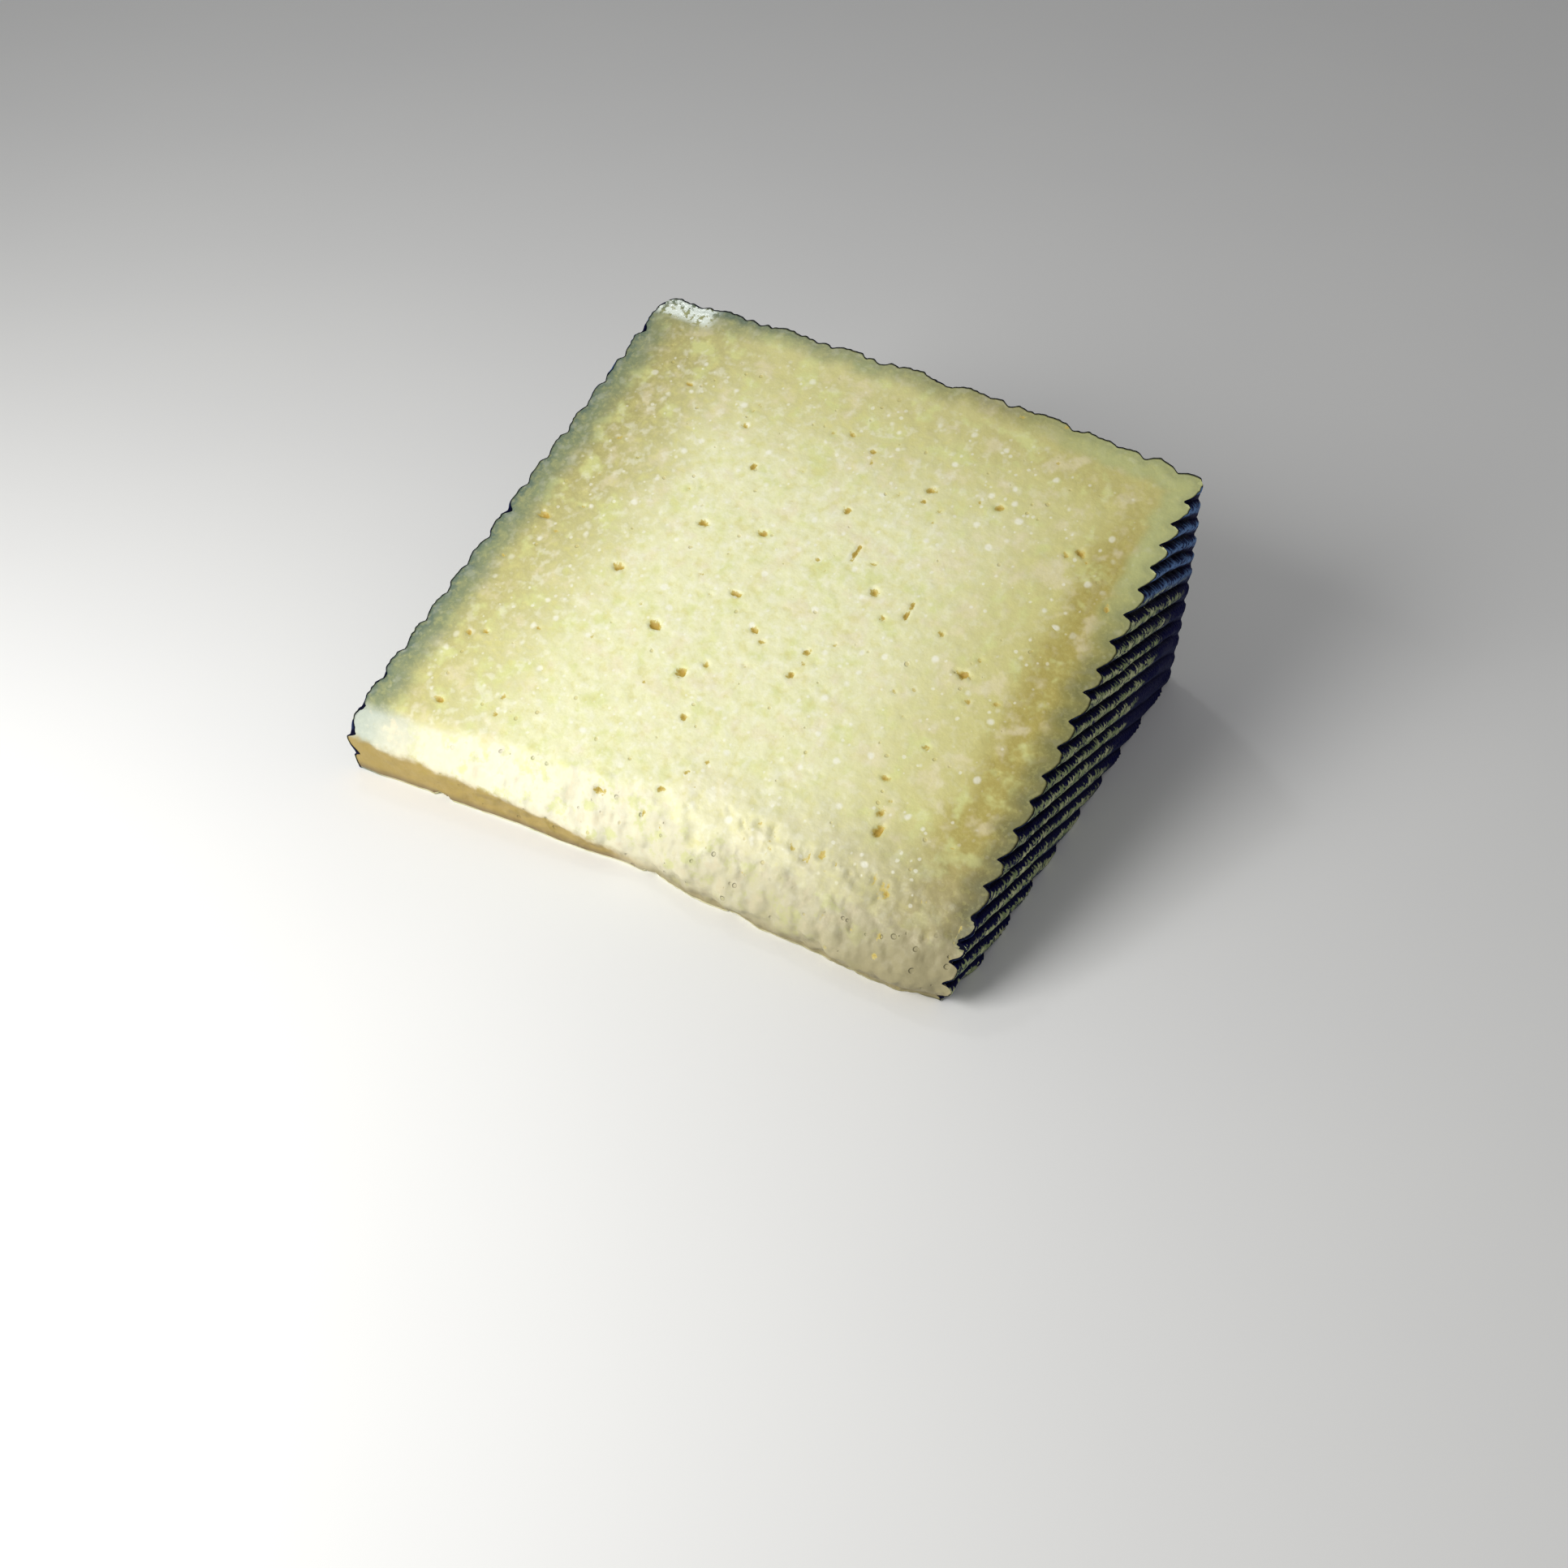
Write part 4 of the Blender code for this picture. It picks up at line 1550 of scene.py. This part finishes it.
@dataclass(frozen=True)
class PasteFinish:
    """Pressed curd: ivory in the middle, yellower outward, grey-green under the rind, with white specks.
    Painted shade darkens it to the right, to the left and on the tip, and a painted highlight lies on the
    back left corner.

    Its places and sizes are in millimetres.
    """

    heart: Colour = paint(239, 238, 193)
    body: Colour = paint(216, 211, 150)
    # The tan band by the rind: partly the paste's own colour, partly painted shade where it grows stronger to
    # the right.
    tan: Colour = paint(182, 168, 92)
    # A greyer tan for the left part: painted shade.
    left_shade_tan: Colour = paint(176, 168, 108)
    # A darker yellow for the right part: painted shade.
    right_shade_gold: Colour = paint(209, 201, 122)
    band: Colour = paint(126, 138, 106)
    right_band: Colour = paint(139, 134, 76)
    corner_band: Colour = paint(126, 119, 80)
    mint: Colour = paint(192, 195, 134)
    rim_line: Colour = paint(96, 114, 100)
    speck: Colour = paint(254, 253, 238)
    green: Colour = paint(222, 226, 154)
    pink: Colour = paint(238, 226, 192)
    yolk: Colour = paint(222, 216, 140)
    eye: Colour = paint(204, 186, 104)
    eye_deep: Colour = paint(182, 152, 66)
    # The facet under the tip's nose: partly its own fresh-cut tan, partly painted shade.
    facet: Colour = paint(169, 143, 68)
    # The facet's base: painted shadow.
    facet_foot_shadow: Colour = paint(116, 92, 54)
    bevel: Colour = paint(239, 234, 212)
    bevel_end: Colour = paint(202, 210, 198)
    crumb: Colour = paint(232, 227, 188)
    # Painted shade for the tip's slope and its crumbly right end.
    painted_slope_shade: Colour = paint(165, 156, 119)
    # A darker colour for the slope's pits: painted shade.
    dent_shade: Colour = paint(150, 142, 104)
    # The darkened foot of the tip: painted shadow.
    foot: Colour = paint(152, 140, 102)
    # A pale colour that stands in for a highlight: painted glare.
    glare: Colour = paint(240, 249, 241)
    name: str = "Pressed paste"

    def material(self) -> bpy.types.Material:
        """Makes the material.

        Returns:
            It. Broad colours come first, partly painted shade towards the back and right, and over them the
            bands under the rind, the curd and its specks, the tip's slope with its painted shade, the eyes,
            and a painted highlight at the back left corner. Grain, curd and slope give the relief.
        """
        desk = Desk(self.name, self.body)
        border = desk.read("border")
        patches = desk.noise(7.0, 3.0, 0.55, 1.0)
        grain = desk.noise(0.7, 3.0, 0.6, 7.0)
        inner = desk.ramp(border, 3.0, 9.0, 0.15, 1.0)
        along = desk.plus(desk.x, desk.swing(patches, 10.0))
        self.lay_ground(desk, border, patches, along)
        self.lay_bands(desk, desk.plus(border, desk.swing(patches, 2.4)))
        curds = self.lay_curd(desk, border, grain, inner)
        slope = self.lay_slope(desk, along)
        pits = self.lay_eyes(desk, grain, inner)
        # Painted highlight: a pale patch of colour on the back left corner stands in for the glare of a lamp,
        # and the surface there is also made glossier.
        glare_patch = desk.times(desk.ramp(desk.x, -34.5, -37.5), desk.ramp(desk.y, 31.6, 33.2))
        broken = desk.times(glare_patch, desk.ramp(desk.noise(1.2, 3.0, 0.7, 15.0), 0.41, 0.49))
        desk.lay(desk.times(broken, 0.85), self.glare)
        height = desk.plus(desk.times(grain, 0.35), desk.times(curds, 0.5))
        desk.bump(desk.plus(desk.less(height, desk.times(pits, 0.5)), slope))
        return desk.done(desk.less(desk.ramp(grain, 0.3, 0.7, 0.45, 0.62), desk.times(broken, 0.38)), 0.35)

    def lay_ground(self, desk: Desk, border: Socket, patches: Socket, along: Socket) -> None:
        """Lays the broad colours: ivory in the middle, a darker yellow to the right and a tan band by the
        rind, stronger to the right, and a greyer tan to the left. The tan band is partly the paste's own
        colour;
        the rest of this darkening is painted shade.

        Args:
            desk: Where the nodes go.
            border: Distance to the rind.
            patches: Broad random patches.
            along: Place along X, shifted to and fro by the patches.
        """
        shifted = desk.plus(border, desk.swing(patches, 6.0))
        desk.lay(desk.ramp(shifted, 8.0, 30.0), self.heart)
        # Painted shade: a darker yellow over the right part, away from the tip.
        rightward = desk.times(desk.ramp(along, 8.0, 40.0, 0.0, 0.42), desk.ramp(desk.y, -36.0, -24.0))
        desk.lay(rightward, self.right_shade_gold)
        # A tan band by the rind, partly the paste's own colour and partly painted shade, which grows stronger
        # to the right.
        tan = desk.times(desk.ramp(shifted, 11.5, 6.0), desk.ramp(desk.x, -10.0, 40.0, 0.25, 1.0))
        desk.lay(desk.times(tan, desk.ramp(desk.y, 14.0, 34.0, 1.0, 0.3)), self.tan)
        # Painted shade: a greyer tan darkens the left part, more towards the back.
        leftward = desk.times(desk.ramp(along, -20.0, -46.0), desk.ramp(desk.y, -38.0, 20.0, 0.25, 1.0))
        desk.lay(leftward, self.left_shade_tan)
        hue = desk.noise(4.5, 3.0, 0.6, 4.0)
        desk.lay(desk.ramp(hue, 0.52, 0.68, 0.0, 0.65), self.green)
        desk.lay(desk.ramp(hue, 0.48, 0.32, 0.0, 0.5), self.pink)
        # The crumbly slope turns from cream to painted shade towards the right.
        crumb = desk.mix(desk.ramp(desk.x, 8.0, 46.0), self.crumb, self.painted_slope_shade)
        desk.lay(desk.times(desk.read("crumbly"), 0.75), crumb)

    def lay_bands(self, desk: Desk, edge: Socket) -> None:
        """Lays the bands under the rind, a paler one in the back right corner, and a line along the rind.

        Args:
            desk: Where the nodes go.
            edge: Distance to the rind, shifted to and fro by patches.
        """
        scaled = desk.times(edge, desk.ramp(desk.x, -38.0, -24.0, 0.70, 1.1))
        right_band = desk.mix(desk.ramp(desk.y, 0.0, -40.0), self.right_band, self.corner_band)
        rinded = desk.mix(desk.ramp(desk.x, -10.0, 20.0), self.band, right_band)
        desk.lay(desk.times(desk.ramp(scaled, 4.8, 1.5), desk.ramp(desk.y, 24.0, 33.0, 0.9, 0.6)), rinded)
        corner = desk.times(desk.ramp(desk.x, 14.0, 36.0), desk.ramp(desk.y, 0.0, 22.0))
        desk.lay(desk.times(corner, desk.ramp(edge, 4.6, 2.6)), self.mint)
        lined = desk.times(desk.ramp(desk.x, -34.0, -10.0, 1.0, 0.25), desk.ramp(edge, 2.0, 0.4, 0.0, 0.85))
        desk.lay(lined, self.rim_line)

    def lay_curd(self, desk: Desk, border: Socket, grain: Socket, inner: Socket) -> Socket:
        """Lays the curd's paler and yellower bits and its white specks.

        Args:
            desk: Where the nodes go.
            border: Distance to the rind.
            grain: Fine random patches.
            inner: How far a place is from the rind, as a share.

        Returns:
            The curd's pattern, for the relief.
        """
        curds = desk.noise(1.7, 2.0, 0.55, 9.0)
        quiet = desk.times(desk.ramp(border, 3.0, 11.0, 0.35, 1.0), desk.ramp(desk.x, 10.0, 36.0, 1.0, 0.4))
        desk.lay(desk.times(desk.ramp(curds, 0.50, 0.70, 0.0, 0.34), quiet), self.speck)
        desk.lay(desk.times(desk.ramp(curds, 0.48, 0.28, 0.0, 0.48), quiet), self.yolk)
        desk.lay(desk.ramp(grain, 0.50, 0.34, 0.0, 0.16), self.yolk)
        large = desk.times(desk.specks(2.6, 0.62, 0.80, 0.46, 2.0), 0.66)
        small = desk.times(desk.specks(1.3, 0.50, 0.40, 0.20, 5.0), 0.50)
        fading = desk.ramp(desk.read("tipward"), -3.0, 0.0, 1.0, 0.2)
        desk.lay(desk.times(desk.maths("MAXIMUM", large, small), fading, inner), self.speck)
        return curds

    def lay_slope(self, desk: Desk, along: Socket) -> Socket:
        """Lays the tip's pale bevel, painted shade over its dented right end and at its foot, and the facet
        under its nose, tan and partly painted shade, with a painted shadow at its base.

        Args:
            desk: Where the nodes go.
            along: Place along X, shifted to and fro by patches.

        Returns:
            The slope's relief: lumps, less dents.
        """
        tipward = desk.read("tipward")
        loose = desk.swing(desk.noise(3.2, 3.0, 0.6, 11.0), desk.ramp(desk.x, -44.0, -12.0, 1.0, 7.0))
        uneven = desk.plus(tipward, loose)
        sloping = desk.ramp(uneven, -0.7, 0.9)
        pale = desk.mix(desk.ramp(along, -36.0, -47.0), self.bevel, self.bevel_end)
        desk.lay(desk.times(sloping, desk.ramp(desk.x, 26.0, -12.0, 0.25, 0.75)), pale)
        mottle = desk.noise(2.8, 4.0, 0.65, 21.0)
        greenish = desk.times(desk.ramp(mottle, 0.50, 0.64, 0.0, 0.7), desk.ramp(desk.x, -44.0, -34.0))
        desk.lay(desk.times(sloping, greenish), self.green)
        desk.lay(desk.times(sloping, desk.ramp(mottle, 0.47, 0.34, 0.0, 0.6)), self.pink)
        # Painted shade: the slope grows darker towards its right end and lower down.
        shade = desk.plus(desk.ramp(along, -14.0, 22.0, 0.0, 0.5), desk.ramp(desk.x, 26.0, 50.0, 0.0, 0.8))
        desk.lay(desk.times(sloping, shade, desk.ramp(desk.z, 12.0, 4.0, 0.6, 1.1)), self.painted_slope_shade)
        rightward = desk.ramp(desk.x, -40.0, -18.0)
        dents = desk.times(desk.specks(1.8, 0.72, 0.46, 0.2, 13.0), sloping, rightward)
        # Painted shade in the pits: the slope's small pits on its right end are coloured darker as well as
        # sunk.
        desk.lay(desk.times(dents, 0.26), self.dent_shade)
        # Painted shadow: the lowest few millimetres of the tip's right half are darkened at the foot.
        low = desk.times(desk.ramp(desk.z, 5.0, 0.2), desk.ramp(desk.x, -6.0, 6.0, 0.0, 0.9))
        desk.lay(desk.times(low, desk.ramp(tipward, 0.0, 1.0)), self.foot)
        # The facet under the nose: a tan that is partly the fresh cut's own colour and partly painted shade,
        # darker still at its base as a painted shadow.
        below = desk.plus(desk.read("under"), desk.swing(mottle, 3.0))
        facet = desk.times(desk.ramp(below, -0.5, 1.3), desk.ramp(tipward, 1.5, 2.5))
        facet = desk.times(facet, desk.ramp(along, 8.0, -8.0, 0.0, 0.92))
        desk.lay(facet, desk.mix(desk.ramp(desk.z, 2.2, 0.1), self.facet, self.facet_foot_shadow))
        lumps = desk.swing(desk.noise(2.4, 1.0, 0.4, 23.0), 6.0)
        lumps = desk.times(lumps, desk.ramp(uneven, -2.5, 3.0), rightward)
        return desk.less(lumps, desk.times(dents, 1.2))

    def lay_eyes(self, desk: Desk, grain: Socket, inner: Socket) -> Socket:
        """Lays small pits, and the stain of the eyes that the mesh carries.

        Args:
            desk: Where the nodes go.
            grain: Fine random patches, which make the stain ragged.
            inner: How far a place is from the rind, as a share.

        Returns:
            The pits, for the relief.
        """
        pits = desk.times(desk.specks(2.1, 0.30, 0.42, 0.20, 8.0), inner)
        desk.lay(desk.times(pits, 0.45), self.eye)
        ragged = desk.plus(desk.read("eye"), desk.swing(grain, 1.3))
        desk.lay(desk.ramp(ragged, 0.14, -0.12), self.eye)
        desk.lay(desk.ramp(ragged, -0.05, -0.45), self.eye_deep)
        return pits


@dataclass(frozen=True)
class RindFinish:
    """A dark waxed rind, its strands worn to olive grey, with painted shade in its grooves and a painted
    blue-grey reflection on the strands near the back right corner.
    """

    # Near-black for the groove bottoms: painted shade, darker than the navy rind.
    deep: Colour = paint(2, 2, 24)
    navy: Colour = paint(5, 8, 66)
    olive: Colour = paint(148, 164, 114)
    cream: Colour = paint(218, 222, 172)
    # Blue-grey: a faint tint under most strands, and a painted reflection near the back right corner.
    slate_tint_and_reflection: Colour = paint(106, 142, 196)
    cut: Colour = paint(4, 8, 30)
    name: str = "Plaited rind"

    def material(self) -> bpy.types.Material:
        """Makes the material.

        Returns:
            It. The colour follows the relief and the wear that the mesh carries, broken up by fine patches.
        """
        desk = Desk(self.name, self.deep)
        # The groove bottoms keep the near-black colour and the rest turns navy: painted shade in the grooves.
        desk.lay(desk.ramp(desk.read("relief"), -0.8, 0.0), self.navy)
        patches = desk.noise(0.8, 3.0, 0.7, 1.0)
        bits = desk.ramp(patches, 0.36, 0.56, 0.08, 1.2)
        # Blue-grey where the mesh says blue: a faint tint under most strands, a painted reflection on the
        # strands near the back right corner.
        desk.lay(desk.times(desk.read("blue"), bits), self.slate_tint_and_reflection)
        light = desk.mix(desk.ramp(desk.noise(2.2, 3.0, 0.6, 5.0), 0.40, 0.66), self.olive, self.cream)
        desk.lay(desk.ramp(desk.times(desk.read("worn"), bits), 0.15, 0.75, 0.0, 0.95), light)
        desk.lay(desk.read("cut"), self.cut)
        fine = desk.noise(0.35, 3.0, 0.6, 9.0)
        desk.bump(desk.plus(fine, desk.times(patches, 0.8)))
        return desk.done(desk.ramp(fine, 0.3, 0.7, 0.45, 0.68), 0.05)


@dataclass(frozen=True)
class FloorFinish:
    """A plain pale sweep with the faintest mottle."""

    light: Colour = paint(250, 250, 249)
    dark: Colour = paint(246, 246, 246)
    name: str = "Pale floor"

    def material(self) -> bpy.types.Material:
        """Makes the material.

        Returns:
            It.
        """
        desk = Desk(self.name, self.light)
        desk.lay(desk.noise(60.0, 2.0), self.dark)
        return desk.done(0.75)


@dataclass(frozen=True)
class Lamp:
    """A soft square lamp.

    Attributes:
        name: Its name.
        place: Where it hangs.
        target: What it faces.
        size: Its side.
        power: Its power, in watts.
        colour: Its colour.
    """

    name: str
    place: tuple[float, float, float]
    target: tuple[float, float, float]
    size: float
    power: float
    colour: Colour = (1.0, 1.0, 1.0)

    def hang(self) -> bpy.types.Object:
        """Makes the lamp.

        Returns:
            Its object.
        """
        data = bpy.data.lights.new(self.name, "AREA")
        data.shape = "SQUARE"
        data.size = self.size
        data.energy = self.power
        data.color = self.colour
        made = bpy.data.objects.new(self.name, data)
        made.location = self.place
        aim = Vector(self.target) - Vector(self.place)
        made.rotation_euler = aim.to_track_quat("-Z", "Y").to_euler()
        bpy.context.scene.collection.objects.link(made)
        return made


@dataclass(frozen=True)
class Studio:
    """The pale floor, the soft light and the camera."""

    camera_place: tuple[float, float, float] = (0.09611, -0.16298, 0.16435)
    azimuth: float = math.radians(30.56)
    elevation: float = math.radians(43.47)
    roll: float = math.radians(1.49)
    lens: float = 35.549
    sensor: float = 36.0
    floor_size: float = 3.0
    floor_gap: float = 0.0001
    sky: float = 0.26
    key: Lamp = Lamp("Key", (-0.105, -0.235, 0.19), (-0.005, -0.010, 0.020), 0.16, 0.80, (1.0, 0.995, 0.97))
    fill: Lamp = Lamp("Fill", (-0.32, 0.17, 0.57), (-0.02, 0.02, 0.03), 0.05, 0.16, (0.95, 0.98, 1.0))

    def build(self) -> None:
        """Makes the floor, the lamps, the sky and the camera."""
        self.lay_floor()
        for lamp in (self.key, self.fill):
            lamp.hang()
        world = bpy.data.worlds.new("Studio")
        world.use_nodes = True
        sky = world.node_tree.nodes["Background"]
        sky.inputs["Color"].default_value = (1.0, 1.0, 1.0, 1.0)
        sky.inputs["Strength"].default_value = self.sky
        bpy.context.scene.world = world
        bpy.context.scene.view_settings.view_transform = "Standard"
        self.set_camera()

    def lay_floor(self) -> None:
        """Lays the floor a hair under the cheese."""
        half = self.floor_size / 2
        signs = ((-1, -1), (1, -1), (1, 1), (-1, 1))
        corners = [(across * half, along * half, -self.floor_gap) for across, along in signs]
        mesh = bpy.data.meshes.new("floor")
        mesh.from_pydata(corners, [], [(0, 1, 2, 3)])
        mesh.materials.append(FloorFinish().material())
        floor = bpy.data.objects.new("floor", mesh)
        bpy.context.scene.collection.objects.link(floor)

    def set_camera(self) -> None:
        """Sets the camera where the photograph was taken from."""
        data = bpy.data.cameras.new("Camera")
        data.lens = self.lens
        data.sensor_width = self.sensor
        data.clip_start = 0.005
        camera = bpy.data.objects.new("Camera", data)
        level = math.cos(self.elevation)
        aim = (-math.sin(self.azimuth) * level, math.cos(self.azimuth) * level, -math.sin(self.elevation))
        turned = Vector(aim).to_track_quat("-Z", "Y").to_matrix() @ Matrix.Rotation(self.roll, 3, "Z")
        camera.matrix_world = Matrix.Translation(self.camera_place) @ turned.to_4x4()
        bpy.context.scene.collection.objects.link(camera)
        bpy.context.scene.camera = camera


def main() -> None:
    """Builds the three skins of the rind, the paste and the studio, and logs each piece's face count."""
    logging.basicConfig(level=logging.INFO, format="%(message)s")
    wheel = Wheel()
    knife = Knife(wheel)
    tip = Tip(wheel, knife)
    boards, belt = BoardPrint(wheel, knife), BeltPrint(wheel)
    right = FaceSkin(wheel, knife, tip, boards, belt, name="right_face_rind", side=Side.RIGHT)
    left = FaceSkin(wheel, knife, tip, boards, belt, name="left_face_rind", side=Side.LEFT,
                    groove_thickness=0.0009, blotchy=-0.1, nibble=0.00025, spread=0.25)
    rim = RimSkin(wheel, knife, tip, boards, belt, name="rim_rind", thickness=0.00003, blotchy=0.0,
                  nibble=0.00035, groove_thickness=0.0003)
    paste = Paste(wheel, knife, tip, right, left, rim)
    pieces = [skin.build(RindFinish()) for skin in (right, left, rim)]
    pieces.append(paste.build(PasteFinish()))
    for piece in pieces:
        log.info("%s: %d faces", piece.name, len(piece.data.polygons))
    Studio().build()


if __name__ == "__main__":
    main()
